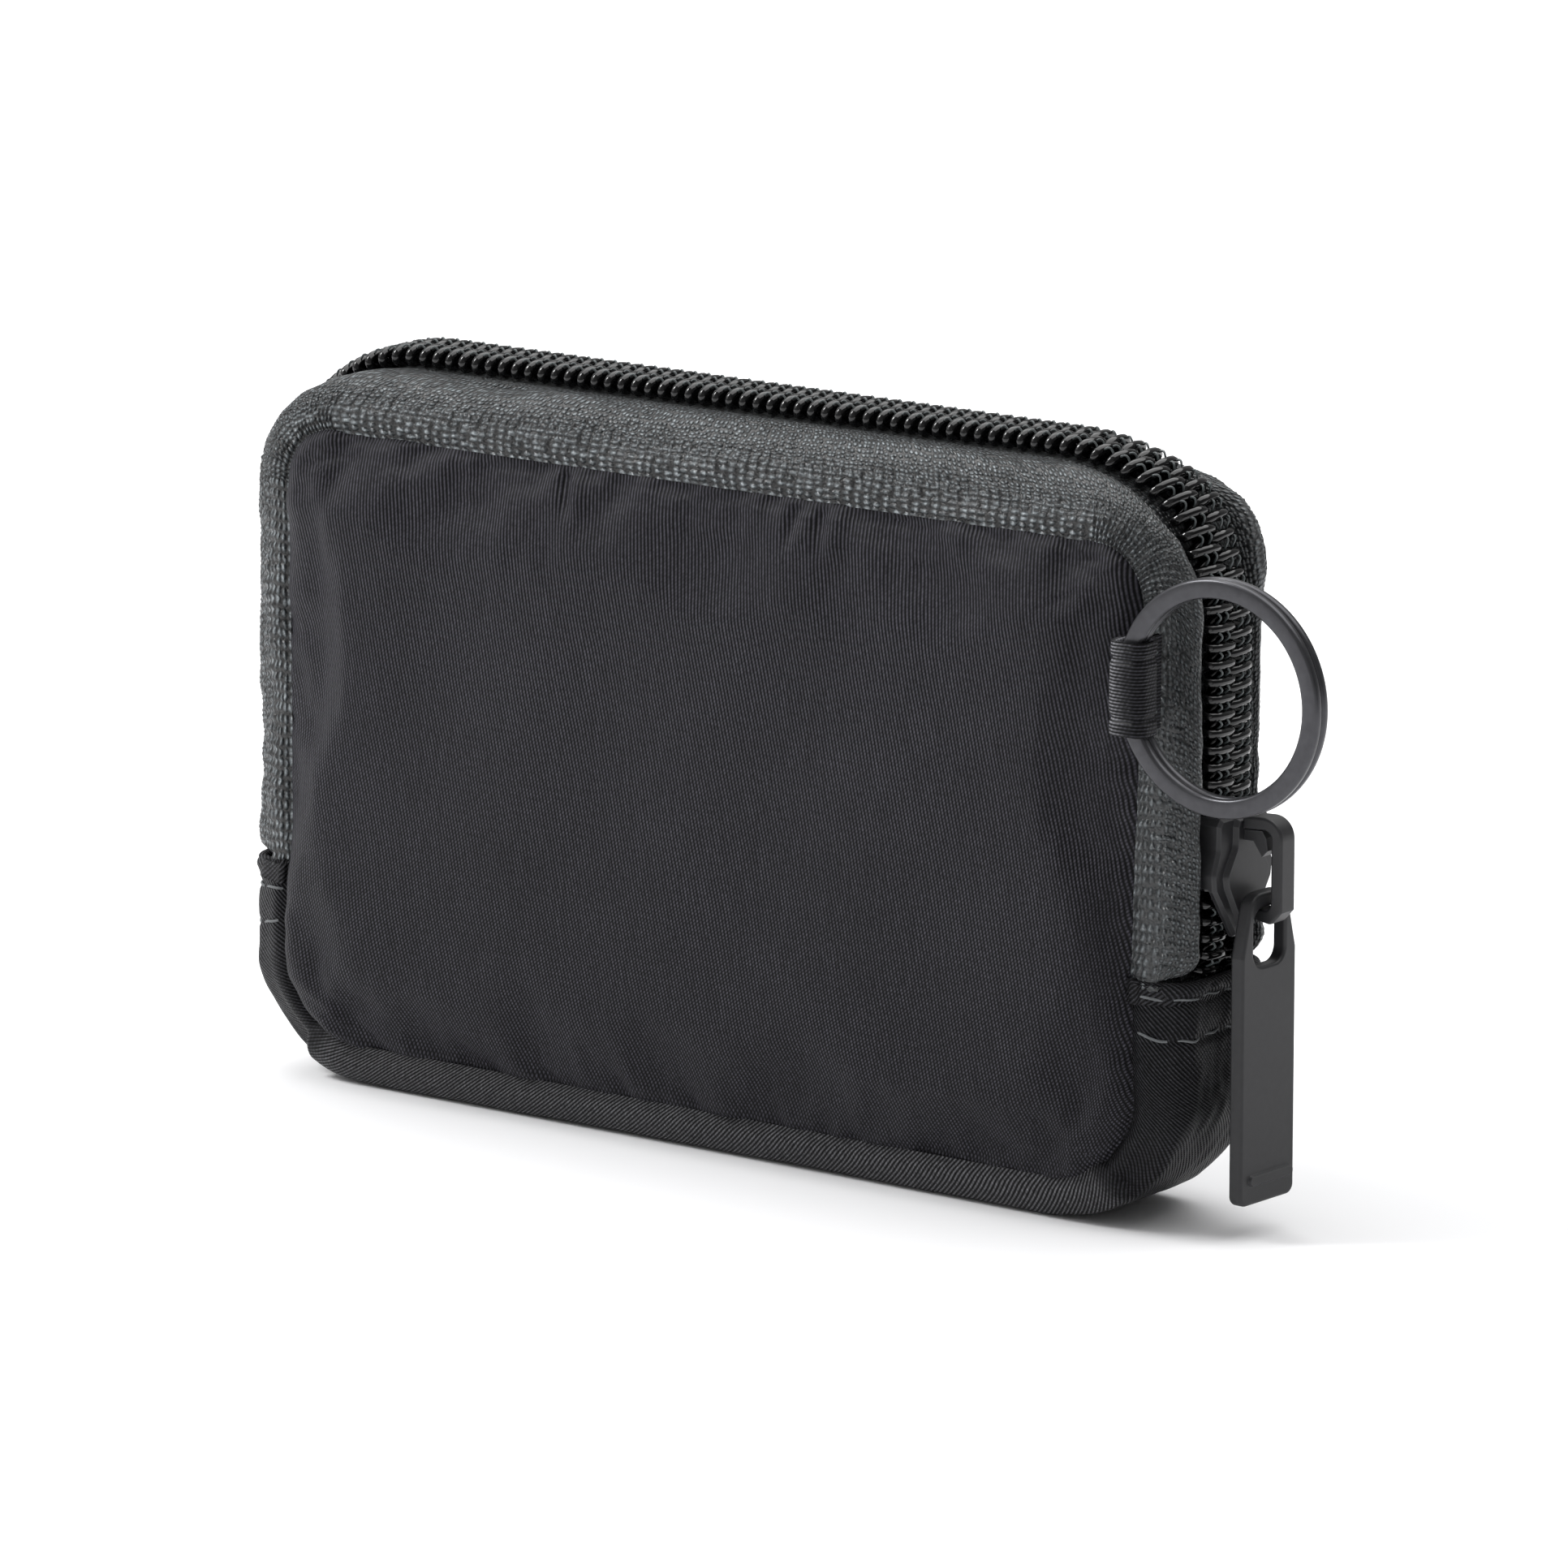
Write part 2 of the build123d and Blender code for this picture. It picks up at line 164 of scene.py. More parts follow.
def twill(name, yarn, groove, ribs, floats, relief, roughness, dots=even_dots, painted_light_band=None):
    """ribs and floats are the turns per mm along and across the cloth.

    dots says how strongly the ribs break into dots: from one height on the
    cloth to another, the first strength to the second.  The last argument is a
    paler yarn and the stretch of cloth, by its axis and two places in mm, that
    is painted in that yarn as painted light.
    """
    material, tree, output = new_material(name)
    weave = add(tree, "Attribute", attribute_name="weave").outputs["Vector"]
    place = add(tree, "SeparateXYZ", {0: weave})
    sway = add(tree, "TexNoise", {"Vector": weave, "Scale": 0.16, "Detail": 1.0})
    wander = add(tree, "Math", [sway.outputs["Fac"], 4.0], operation="MULTIPLY")
    rib = grating(tree, place, *ribs, wander)
    lift = grating(tree, place, *floats, wander)
    low, high, low_share, high_share = dots
    dotted_share = add(
        tree,
        "MapRange",
        {
            "Value": place.outputs["Y"],
            "From Min": low,
            "From Max": high,
            "To Min": low_share,
            "To Max": high_share,
        },
    ).outputs[0]
    crossed = add(tree, "Math", [rib, lift], operation="MULTIPLY")
    dotted = add(tree, "Math", [crossed, 1.5], operation="MULTIPLY")
    ridge = add(tree, "Math", [rib, 1.4], operation="POWER")
    height = add(tree, "Mix", {0: dotted_share, 2: ridge, 3: dotted}).outputs[0]
    fuzz = add(tree, "TexNoise", {"Vector": weave, "Scale": 2.6, "Detail": 3.0})
    stretch = add(tree, "Mapping", {"Vector": weave, "Scale": (1.9, 0.22, 1.0)})
    yarns = add(tree, "TexNoise", {"Vector": stretch.outputs[0], "Scale": 1.0})
    uneven = add(tree, "Math", [fuzz.outputs["Fac"], 1.2, 0.0], operation="MULTIPLY_ADD")
    thick_thin = add(tree, "Math", [yarns.outputs["Fac"], 0.8, 0.6], operation="MULTIPLY_ADD")
    uneven = add(tree, "Math", [uneven, thick_thin], operation="MULTIPLY")
    patch = add(tree, "TexNoise", {"Vector": weave, "Scale": 0.06, "Detail": 2.0})
    faded = add(tree, "Math", [patch.outputs["Fac"], 0.5, 0.75], operation="MULTIPLY_ADD")
    raised = add(tree, "Math", [height, uneven], operation="MULTIPLY")
    shade = add(tree, "Math", [raised, faded], operation="MULTIPLY")
    yarn_tint = linear(yarn)
    # A band of the cloth is painted in a paler yarn: painted light.
    if painted_light_band:
        pale, axis, low, high = painted_light_band
        lit_low, lit_high = (
            add(
                tree,
                "MapRange",
                {"Value": place.outputs[axis], "From Min": spot - 0.9, "From Max": spot + 0.9},
                interpolation_type="SMOOTHSTEP",
            ).outputs[0]
            for spot in (low, high)
        )
        lit_share = add(tree, "Math", [lit_low, lit_high], operation="SUBTRACT")
        tints = {0: lit_share, 6: yarn_tint, 7: linear(pale)}
        yarn_tint = add(tree, "Mix", tints, data_type="RGBA").outputs[2]
    # Rib tops take the yarn colour and the grooves go near black: painted shade in the grooves.
    tints = {0: shade, 6: linear(groove), 7: yarn_tint}
    colour = add(tree, "Mix", tints, data_type="RGBA").outputs[2]
    bump = add(
        tree, "Bump", {"Height": height, "Strength": 1.0, "Distance": relief * MM}
    )
    cloth = add(
        tree,
        "BsdfPrincipled",
        {
            "Base Color": colour,
            "Roughness": roughness,
            "IOR": 1.53,
            "Specular IOR Level": 0.1,
            "Sheen Weight": 0.02,
            "Sheen Roughness": 0.4,
            "Normal": bump.outputs[0],
        },
    )
    tree.links.new(cloth.outputs[0], output.inputs[0])
    print("twill", name, "ribs every", round(1 / float(np.hypot(*ribs)), 2), "mm")
    return material


# %% [markdown]
# Three cloths use it.  The panels carry fine ribs that turn to dots towards
# the top, the gusset a bolder slanting rib, and the tab ribs straight across.
# Under the bottom the gusset is painted paler, as painted light, and round
# the tab's bend the ribs are painted pale, as painted highlight.

# %% Three nylon cloths
panel_twill = twill(
    "nylon twill",
    "#54535b",
    "#060607",
    (2.75, 0.62),
    (2.48, -2.74),
    0.06,
    0.5,
    dots=(18, 58, 0.85, 0.1),
)
# Its bottom run is painted in a paler yarn: painted light.
gusset_twill = twill(
    "gusset nylon twill",
    "#4e4e53",
    "#020202",
    (2.09, -2.49),
    (2.6, 1.2),
    0.2,
    0.45,
    painted_light_band=("#8e8e92", "X", 20.5, 108.5),
)
# Round the bend the tab is painted in a paler yarn: painted highlight.
tab_twill = twill(
    "tab nylon tape",
    "#46464c",
    "#040404",
    (3.3, 0.0),
    (1.2, 2.4),
    0.08,
    0.42,
    painted_light_band=("#b4b4ba", "Y", 7.0, 10.5),
)

# %% [markdown]
# ## Zip tape
#
# A coil zip is sewn to a knitted polyester tape.  Close up it is rows of
# small beads, 0.92 mm apart at the seam and half that by the chain, slightly
# green against the twill, each with a bright point of light.  Voronoi cells
# with little randomness are a good stand-in for loops of yarn: one coarse
# layer and one fine, mixed by how far across the tape a point is.  The beads
# set the colour too: their tops are painted pale as painted highlight, and
# the hollows near black as painted shade.  Down the right side the beads are
# painted fainter and darker, as painted shade.


# %% Knitted tape material
def knitted_tape(name, yarn, hollow):
    material, tree, output = new_material(name)
    weave = add(tree, "Attribute", attribute_name="weave").outputs["Vector"]
    place = add(tree, "SeparateXYZ", {0: weave})
    across = place.outputs["Y"]
    coarse_place = add(tree, "Mapping", {"Vector": weave, "Scale": (1.09, 1.79, 1.0)})
    fine_place = add(tree, "Mapping", {"Vector": weave, "Scale": (2.1, 2.6, 1.0)})
    layers = []
    for mapping, randomness in ((coarse_place, 0.35), (fine_place, 0.5)):
        cell = add(
            tree,
            "TexVoronoi",
            {"Vector": mapping.outputs[0], "Scale": 1.0, "Randomness": randomness},
            voronoi_dimensions="2D",
        )
        layers.append(cell.outputs)
    toward_chain = add(
        tree, "MapRange", {"Value": across, "From Min": 1.6, "From Max": 4.0}
    ).outputs[0]
    both = add(
        tree,
        "Mix",
        {0: toward_chain, 2: layers[0]["Distance"], 3: layers[1]["Distance"]},
    ).outputs[0]
    tints = {0: toward_chain, 6: layers[0]["Color"], 7: layers[1]["Color"]}
    tone = add(tree, "Mix", tints, data_type="RGBA").outputs[2]
    bead = add(
        tree,
        "MapRange",
        {"Value": both, "From Min": 0.08, "From Max": 0.55, "To Min": 1.0, "To Max": 0.0},
        interpolation_type="SMOOTHSTEP",
    ).outputs[0]
    luck = add(tree, "SeparateColor", {0: tone}).outputs[0]
    fibre = add(tree, "TexNoise", {"Vector": weave, "Scale": 4.5, "Detail": 4.0})
    hairs = add(tree, "Math", [fibre.outputs["Fac"], 0.5], operation="MULTIPLY")
    height = add(tree, "Math", [bead, hairs], operation="ADD")
    worn = add(tree, "Math", [luck, 0.7, 0.35], operation="MULTIPLY_ADD")
    stranded = add(tree, "Math", [fibre.outputs["Fac"], 2.2, -0.4], operation="MULTIPLY_ADD")
    bright = add(tree, "Math", [bead, worn], operation="MULTIPLY")
    bright = add(tree, "Math", [bright, stranded], operation="MULTIPLY")
    # Down the right side the beads are painted fainter and darker: painted shade.
    pressed_and_shaded = add(
        tree,
        "MapRange",
        {
            "Value": place.outputs["X"],
            "From Min": 122,
            "From Max": 146,
            "To Max": 0.72,
        },
        interpolation_type="SMOOTHSTEP",
    ).outputs[0]
    shaded_bright = add(tree, "Math", [bright, 0.26, 0.05], operation="MULTIPLY_ADD")
    shade = add(tree, "Mix", {0: pressed_and_shaded, 2: bright, 3: shaded_bright}).outputs[0]
    # Bead tops take the pale yarn colour, as painted highlight, and the hollows go near black, as
    # painted shade.
    tints = {0: shade, 6: linear(hollow), 7: linear(yarn)}
    colour = add(tree, "Mix", tints, data_type="RGBA").outputs[2]
    bump = add(tree, "Bump", {"Height": height, "Strength": 1.0, "Distance": 0.28 * MM})
    cloth = add(
        tree,
        "BsdfPrincipled",
        {
            "Base Color": colour,
            "Roughness": 0.3,
            "IOR": 1.57,
            "Specular IOR Level": 0.5,
            "Sheen Weight": 0.05,
            "Sheen Roughness": 0.4,
            "Normal": bump.outputs[0],
        },
    )
    tree.links.new(cloth.outputs[0], output.inputs[0])
    print("knitted tape", name)
    return material


tape_knit = knitted_tape("knitted polyester tape", "#aab2b6", "#010101")

# %% [markdown]
# ## Nylon monofilament, thread, lining and binding
#
# The coil is one thick nylon filament, smooth and glossy, so it is nearly
# black with sharp highlights.  Sewing thread is spun and matt.  Lining and
# binding are plain weaves that only show when the pouch is open.  One
# function serves them all: a colour that a fine grain breaks up, a little
# bump from the same grain, and paler corners: rubbed wear on the zinc paint,
# painted highlight on the ring.


# %% A plain finish with grain
def simple_finish(name, colour, roughness, ior, grain_scale, relief, edge=0.0, **shader):
    """One colour broken up by fine grain; grain_scale is in grains per metre.

    edge is how much paler the corners are painted, found by comparing the
    surface with itself rounded off by a quarter of a millimetre: rubbed wear
    on the zinc paint, painted highlight on the ring.
    """
    material, tree, output = new_material(name)
    place = add(tree, "TexCoord").outputs["Object"]
    grain = add(
        tree, "TexNoise", {"Vector": place, "Scale": grain_scale, "Detail": 4.0}
    ).outputs["Fac"]
    dark = [c * 0.72 for c in linear(colour)[:3]] + [1]
    light = [min(1, c * 1.25) for c in linear(colour)[:3]] + [1]
    tint = add(tree, "Mix", {0: grain, 6: dark, 7: light}, data_type="RGBA").outputs[2]
    if edge:
        # Paler corners: wear on the zinc paint, painted highlight on the ring.
        rounded = add(tree, "Bevel", {"Radius": 0.25 * MM}, samples=4).outputs[0]
        flat = add(tree, "NewGeometry").outputs["Normal"]
        agree = add(tree, "VectorMath", {0: rounded, 1: flat}, operation="DOT_PRODUCT")
        unlike = add(tree, "Math", [1.0, agree.outputs["Value"]], operation="SUBTRACT")
        wear_and_highlight = add(tree, "Math", [unlike, 6.0], operation="MULTIPLY")
        wear_and_highlight = add(tree, "Math", [wear_and_highlight, 1.0], operation="MINIMUM")
        wear_and_highlight = add(tree, "Math", [wear_and_highlight, edge], operation="MULTIPLY")
        pale = [min(1, c * 4) for c in light[:3]] + [1]
        tint = add(tree, "Mix", {0: wear_and_highlight, 6: tint, 7: pale}, data_type="RGBA").outputs[2]
    bump = add(tree, "Bump", {"Height": grain, "Strength": 1.0, "Distance": relief * MM})
    sockets = {key.replace("_", " "): value for key, value in shader.items()}
    finish = add(
        tree,
        "BsdfPrincipled",
        {"Base Color": tint, "Roughness": roughness, "IOR": ior, "Normal": bump.outputs[0]}
        | sockets,
    )
    tree.links.new(finish.outputs[0], output.inputs[0])
    print("finish", name, colour)
    return material


# %% [markdown]
# Nylon monofilament is smooth, so its roughness is low; spun thread, lining
# and binding are matt.  The IORs are those of nylon (1.53) and polyester
# (1.57).

# %% Filament, thread and inner cloths
filament = simple_finish(
    "nylon monofilament", "#080809", 0.08, 1.53, 900, 0.002, Specular_IOR_Level=0.45
)
thread_grey = simple_finish("spun polyester thread", "#5c5f61", 0.6, 1.57, 3500, 0.05)
coil_thread = simple_finish("coil sewing thread", "#4a5051", 0.5, 1.57, 3500, 0.04)
lining_weave = simple_finish("polyester lining", "#2a2a2e", 0.7, 1.57, 2200, 0.03)
binding_weave = simple_finish("bias binding", "#202023", 0.75, 1.57, 1800, 0.05)

# %% [markdown]
# ## Painted zinc and coated steel
#
# The slider, crown and pull are die-cast zinc with matt black paint: an even
# dark grey with broad soft highlights and a very fine orange peel.  The
# split ring is steel with a dark satin coating, which keeps a metal's
# coloured reflection but spreads it.


# %% Metal finishes
zinc_paint = simple_finish(
    "zinc die-cast paint", "#222224", 0.46, 1.5, 1400, 0.004, edge=0.35, Specular_IOR_Level=0.4
)
# Its corners are painted paler as painted highlight, where the rounded edges catch the light.
ring_coat = simple_finish(
    "satin coated steel", "#434346", 0.29, 1.5, 1200, 0.003, edge=0.5, Metallic=0.7
)

# %% [markdown]
# ## Sheets of cloth from a grid
#
# Each soft piece starts as a grid of points worked out from the seam line.
# A grid is easier to bulge, pucker and weave on than a sculpted mesh, since
# every point knows how far along and across the cloth it is.  `shell` gives
# it a thickness, `settle` lets it slump as the real one has, and `piece`
# makes the Blender object and its attribute.


# %% Mesh helpers
def through(keys, count):
    """Smooth curve through rows of key values, as count evenly spaced rows."""
    keys = np.array(keys, float)
    ends = np.vstack([2 * keys[0] - keys[1], keys, 2 * keys[-1] - keys[-2]])
    fine = []
    for i in range(len(keys) - 1):
        a, b, c, d = ends[i : i + 4]
        for t in np.linspace(0, 1, 20, endpoint=False):
            bend = (2 * a - 5 * b + 4 * c - d) * t**2 + (3 * b - a - 3 * c + d) * t**3
            fine.append(0.5 * (2 * b + (c - a) * t + bend))
    fine = np.array(fine + [keys[-1]])
    steps = np.linalg.norm(np.diff(fine[:, :2], axis=0), axis=1)
    length = np.concatenate([[0], np.cumsum(steps)])
    even = np.linspace(0, length[-1], count)
    return np.column_stack([np.interp(even, length, column) for column in fine.T]), even


def unit(vectors):
    return vectors / np.maximum(np.linalg.norm(vectors, axis=-1, keepdims=True), 1e-9)


def outward(grid):
    """Unit normals of a grid of points, pointing away from its middle."""
    normal = unit(np.cross(np.gradient(grid, axis=0), np.gradient(grid, axis=1)))
    middle = grid.reshape(-1, 3).mean(axis=0)
    facing = np.sign((normal * (grid - middle)).sum())
    return normal * facing, facing


def quads(index, flip):
    around = [index[:-1, :-1], index[1:, :-1], index[1:, 1:], index[:-1, 1:]]
    faces = np.stack(around, axis=-1).reshape(-1, 4)
    return faces[:, ::-1] if flip else faces


def closed_sheet(outer, inner, flip):
    """Points and faces of an outer grid, an inner grid and the rim between them."""
    rows, columns = outer.shape[:2]
    index = np.arange(rows * columns).reshape(rows, columns)
    under = index + rows * columns
    faces = [quads(index, flip), quads(under, not flip)]
    rims = ((index[0], under[0]), (index[:, -1], under[:, -1]))
    rims += ((index[-1, ::-1], under[-1, ::-1]), (index[::-1, 0], under[::-1, 0]))
    for edge, edge_under in rims:
        faces.append(quads(np.stack([edge, edge_under]), flip))
    return np.concatenate([outer, inner]).reshape(-1, 3), np.concatenate(faces)


def shell(grid, thickness):
    """Closed sheet: the grid, and a copy set back by the thickness."""
    normal, facing = outward(grid)
    return closed_sheet(grid, grid - normal * thickness, facing < 0)


print("a curve through three points:", through([(0, 0), (1, 1), (2, 0)], 5)[1].round(2))

# %% [markdown]
# A sewn pouch does not keep the straight lines of its pattern.  The moves
# below are shared by all the cloth, so that tapes, gusset and thread stay
# together while the corners slump.

# %% How the cloth slumps
def smooth_step(value, low, high):
    t = np.clip((value - low) / (high - low), 0, 1)
    return t * t * (3 - 2 * t)


low_left_in, front_right_in, back_right_in, top_corner_out = 0.8, 1.0, 1.1, 1.2
top_corner_up, right_foot_up, left_foot_up = 1.0, 3.0, 1.3
table_gap = 0.03


def settle(points):
    """Small moves that all the sewn cloth shares, because the pouch has slumped.

    Each region fades from 0 to 1 between two places in mm, and the values above
    say how far it moves: in or out along x, or up from the table.
    """
    x, y, z = np.moveaxis(np.asarray(points, float), -1, 0)
    low_left = smooth_step(-x, 25, 47) * smooth_step(24 - z, 0, 9)
    front_right = np.exp(-(((x - 47) / 3) ** 2) - ((z - 22) / 20) ** 2) * smooth_step(-y, 4.5, 6.5)
    back_right = smooth_step(x, 40, 49) * smooth_step(y, 2, 6)
    back_right = back_right * smooth_step(z, 20, 32) * (1 - smooth_step(z, 54, 62))
    top_corner = np.exp(-(((x - 48) / 6) ** 2) - ((z - 65) / 6) ** 2) * smooth_step(y, -6, 0)
    right_foot = smooth_step(x, 36, 52) * (1 - smooth_step(z, 4, 16))
    left_foot = smooth_step(-x, 38, 50) * (1 - smooth_step(z, 3, 12))
    x = x - low_left_in * low_left - front_right_in * front_right
    x = x - back_right_in * back_right + top_corner_out * top_corner
    z = z + top_corner_up * top_corner + right_foot_up * right_foot + left_foot_up * left_foot
    return np.stack([x, y, np.maximum(z, table_gap)], axis=-1)


print("the right foot is drawn up", right_foot_up, "mm, the left", left_foot_up, "mm")

# %% [markdown]
# Every piece gets smooth shading, one finish and, when it has one, the body
# that it rides on.  Cloth and thread come in as points; wires and
# threads are curves with a round section, turned to a mesh at once.


# %% Pieces, wires and threads
def place_mesh(name, mesh, material, body):
    """A smooth object of one finish from a mesh, riding on its body."""
    mesh.materials.clear()
    mesh.materials.append(material)
    mesh.polygons.foreach_set("use_smooth", [True] * len(mesh.polygons))
    obj = bpy.data.objects.new(name, mesh)
    bpy.context.scene.collection.objects.link(obj)
    if body:
        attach(obj, body)
    print(name, len(mesh.vertices), "points")
    return obj


def piece(name, points, faces, material, body=None, weave=None):
    """A piece of cloth from points in millimetres, riding on a body or on none."""
    mesh = bpy.data.meshes.new(name)
    mesh.from_pydata((settle(points) * MM).tolist(), [], np.asarray(faces).tolist())
    if weave is not None:
        attribute = mesh.attributes.new("weave", "FLOAT_VECTOR", "POINT")
        attribute.data.foreach_set("vector", np.asarray(weave, float).ravel())
    return place_mesh(name, mesh, material, body)


def flat_size(grid):
    """Width and length in metres that a gridded strip of cloth was cut to."""
    sides = []
    for axis in (0, 1):
        steps = np.linalg.norm(np.diff(grid, axis=axis), axis=2).sum(axis=axis)
        sides.append(float(np.median(steps)) * MM)
    print("cut", [round(side / MM, 1) for side in sides], "mm")
    return sides


def weave_of(across, along, layers=2):
    """The weave attribute for a shell: a place on the cloth, in millimetres."""
    flat = np.stack([along, across, np.zeros_like(along)], axis=-1).reshape(-1, 3)
    return np.concatenate([flat] * layers)


def wires(name, lines, radius, material, body=None):
    """Round wires or threads along lines of points, as one mesh."""
    curve = bpy.data.curves.new(name, "CURVE")
    curve.dimensions = "3D"
    curve.bevel_depth = radius * MM
    curve.bevel_resolution = 2
    curve.use_fill_caps = True
    for line in lines:
        spline = curve.splines.new("POLY")
        spline.points.add(len(line) - 1)
        flat = np.column_stack([settle(line) * MM, np.ones(len(line))])
        spline.points.foreach_set("co", flat.ravel())
    holder = bpy.data.objects.new(name + "_line", curve)
    bpy.context.scene.collection.objects.link(holder)
    depsgraph = bpy.context.evaluated_depsgraph_get()
    mesh = bpy.data.meshes.new_from_object(holder.evaluated_get(depsgraph))
    bpy.data.objects.remove(holder)
    mesh.name = name
    return place_mesh(name, mesh, material, body)


# %% [markdown]
# ## Camera, floor and light
#
# The pouch stands at three quarters on a pale floor.  A long lens far away
# keeps its edges nearly parallel.  Black cloth needs large soft lamps: one
# broad lamp above, two at the upper and front left that draw the ribs, a weak
# one at the right for the metal, and surroundings that are brighter on the
# left than on the right.

# %% Camera
azimuth = np.radians(36.55)
elevation = np.radians(12.9)
lens_to_width = 12863 / 1932
sensor_width = 36.0
aim = Vector((3.61, 0.0, 33.115)) * MM
back_off = 929.8 * MM
toward_camera = Vector(
    (
        np.sin(azimuth) * np.cos(elevation),
        -np.cos(azimuth) * np.cos(elevation),
        np.sin(elevation),
    )
)
camera_data = bpy.data.cameras.new("camera")
camera_data.sensor_width = sensor_width
camera_data.lens = lens_to_width * sensor_width
camera_data.clip_start = 0.05
camera = bpy.data.objects.new("camera", camera_data)
bpy.context.scene.collection.objects.link(camera)
camera.location = aim + toward_camera * back_off
camera.rotation_euler = toward_camera.to_track_quat("Z", "Y").to_euler()
bpy.context.scene.camera = camera
print("camera lens", round(camera_data.lens, 1), "mm")

# %% [markdown]
# The lamps are large rectangles aimed at the pouch.  The floor is a pale
# diffuse sheet, and the surroundings fade from left to right, which turns the
# right side of the pouch into shade.


# %% Floor and lamps
def soft_lamp(name, place, size, power):
    lamp_data = bpy.data.lights.new(name, "AREA")
    lamp_data.shape = "RECTANGLE"
    lamp_data.size = size[0]
    lamp_data.size_y = size[1]
    lamp_data.energy = power
    lamp = bpy.data.objects.new(name, lamp_data)
    bpy.context.scene.collection.objects.link(lamp)
    lamp.location = place
    lamp.rotation_euler = (lamp.location - aim).to_track_quat("Z", "Y").to_euler()
    return lamp


floor_mesh = bpy.data.meshes.new("studio_floor")
reach = 3.0
corners = [(-reach, -reach, 0), (reach, -reach, 0), (reach, reach, 0), (-reach, reach, 0)]
floor_mesh.from_pydata(corners, [], [(0, 1, 2, 3)])
floor = bpy.data.objects.new("studio_floor", floor_mesh)
bpy.context.scene.collection.objects.link(floor)
floor_material, floor_tree, floor_output = new_material("pale floor")
floor_surface = add(
    floor_tree,
    "BsdfPrincipled",
    {"Base Color": linear("#f7f7f8"), "Roughness": 0.9, "Specular IOR Level": 0.1},
)
floor_tree.links.new(floor_surface.outputs[0], floor_output.inputs[0])
floor_mesh.materials.append(floor_material)

soft_lamp("top_lamp", (0.0, 0.3, 0.95), (1.5, 1.1), 12.5)
soft_lamp("upper_left_lamp", (-0.62, -0.34, 0.8), (0.36, 0.36), 7.5)
soft_lamp("front_left_lamp", (-0.9, -0.7, 0.7), (0.6, 0.6), 1.6)
soft_lamp("front_right_lamp", (0.75, -0.75, 0.35), (0.4, 0.5), 0.15)
world = bpy.data.worlds.new("studio")
world.use_nodes = True
sky = world.node_tree
all_round = add(sky, "TexCoord").outputs["Generated"]
toward = add(sky, "SeparateXYZ", {0: all_round}).outputs["X"]
left_strength, right_strength = 0.62, 0.13
dimming = add(
    sky,
    "MapRange",
    {
        "Value": toward,
        "From Min": -1.0,
        "From Max": 1.0,
        "To Min": left_strength,
        "To Max": right_strength,
    },
)
sky.nodes["Background"].inputs[0].default_value = (1, 1, 1, 1)
sky.links.new(dimming.outputs[0], sky.nodes["Background"].inputs[1])
bpy.context.scene.world = world
bpy.context.scene.view_settings.view_transform = "Standard"
print("floor and four lamps are set")

# %% [markdown]
# ## Paths round the pouch
#
# The zip is one arch from hem to hem over the top; the gusset is one cradle
# from hem to hem under the bottom.  Both are a straight side, a round
# corner, a long run, a corner and a side.  `turn` counts those five parts,
# so the same station can be found again on a section that bulges further
# out, and the cloth stays lined up from its seam to its middle.


# %% Arch and cradle paths
def loop_points(turn, half, level, radius, left_z, right_z, up):
    """X and Z on an arch (up 1) or a cradle (up -1), for turn from 0 to 5."""
    part = np.minimum(np.floor(turn), 4)
    t = turn - part
    bend = level - up * radius
    swing = t * np.pi / 2
    x = np.select(
        [part == 0, part == 1, part == 2, part == 3],
        [
            -half + 0 * t,
            -half + radius * (1 - np.cos(swing)),
            -half + radius + 2 * t * (half - radius),
            half - radius + radius * np.sin(swing),
        ],
        half + 0 * t,
    )
    z = np.select(
        [part == 0, part == 1, part == 2, part == 3],
        [
            left_z + t * (bend - left_z),
            bend + up * radius * np.sin(swing),
            level + 0 * t,
            bend + up * radius * np.cos(swing),
        ],
        bend + t * (right_z - bend),
    )
    return x, z


def stations(half, level, radius, left_z, right_z, up, step):
    """Turns at even steps along a loop, and the distance along it in mm."""
    bend = level - up * radius
    arc = radius * np.pi / 2
    lengths = [abs(bend - left_z), arc, 2 * (half - radius), arc, abs(bend - right_z)]
    ends = np.concatenate([[0], np.cumsum(lengths)])
    along = np.linspace(0, ends[-1], int(ends[-1] / step) + 1)
    return np.interp(along, ends, np.arange(6)), along


def on_long_run(turn):
    """0 on the sides and 1 over the top or bottom, easing through the corners."""
    return smooth_step(turn, 1, 2) - smooth_step(turn, 3, 4)


def ripple(a, b, wavelength, seed):
    """Smooth waves in all directions, about -1 to 1, the same every run."""
    random = np.random.default_rng(seed)
    total = 0
    for _ in range(7):
        heading = random.uniform(0, np.pi)
        turns = random.uniform(0.7, 1.5) / wavelength
        phase = random.uniform(0, 2 * np.pi)
        total = total + np.sin(
            2 * np.pi * turns * (a * np.cos(heading) + b * np.sin(heading)) + phase
        )
    return total / 3.0


def rows_and_columns(section, count):
    """Section values as a column, so that they spread over the stations."""
    return [section[:, i : i + 1] for i in range(count)]


print("half way round the arch is at", loop_points(np.array([2.5]), 48.4, 62, 5, 20, 20, 1))

# %% [markdown]
# ## The two zip tapes
#
# Each tape is sewn to a panel, puffs out over the seam allowance, and dips
# to the coil.  The puff is widest on the sides.  At the hems the tape ends
# in a soft roll that tucks under the twill.  The knitted beads are real
# bumps here, because they show on the outline against the white floor.

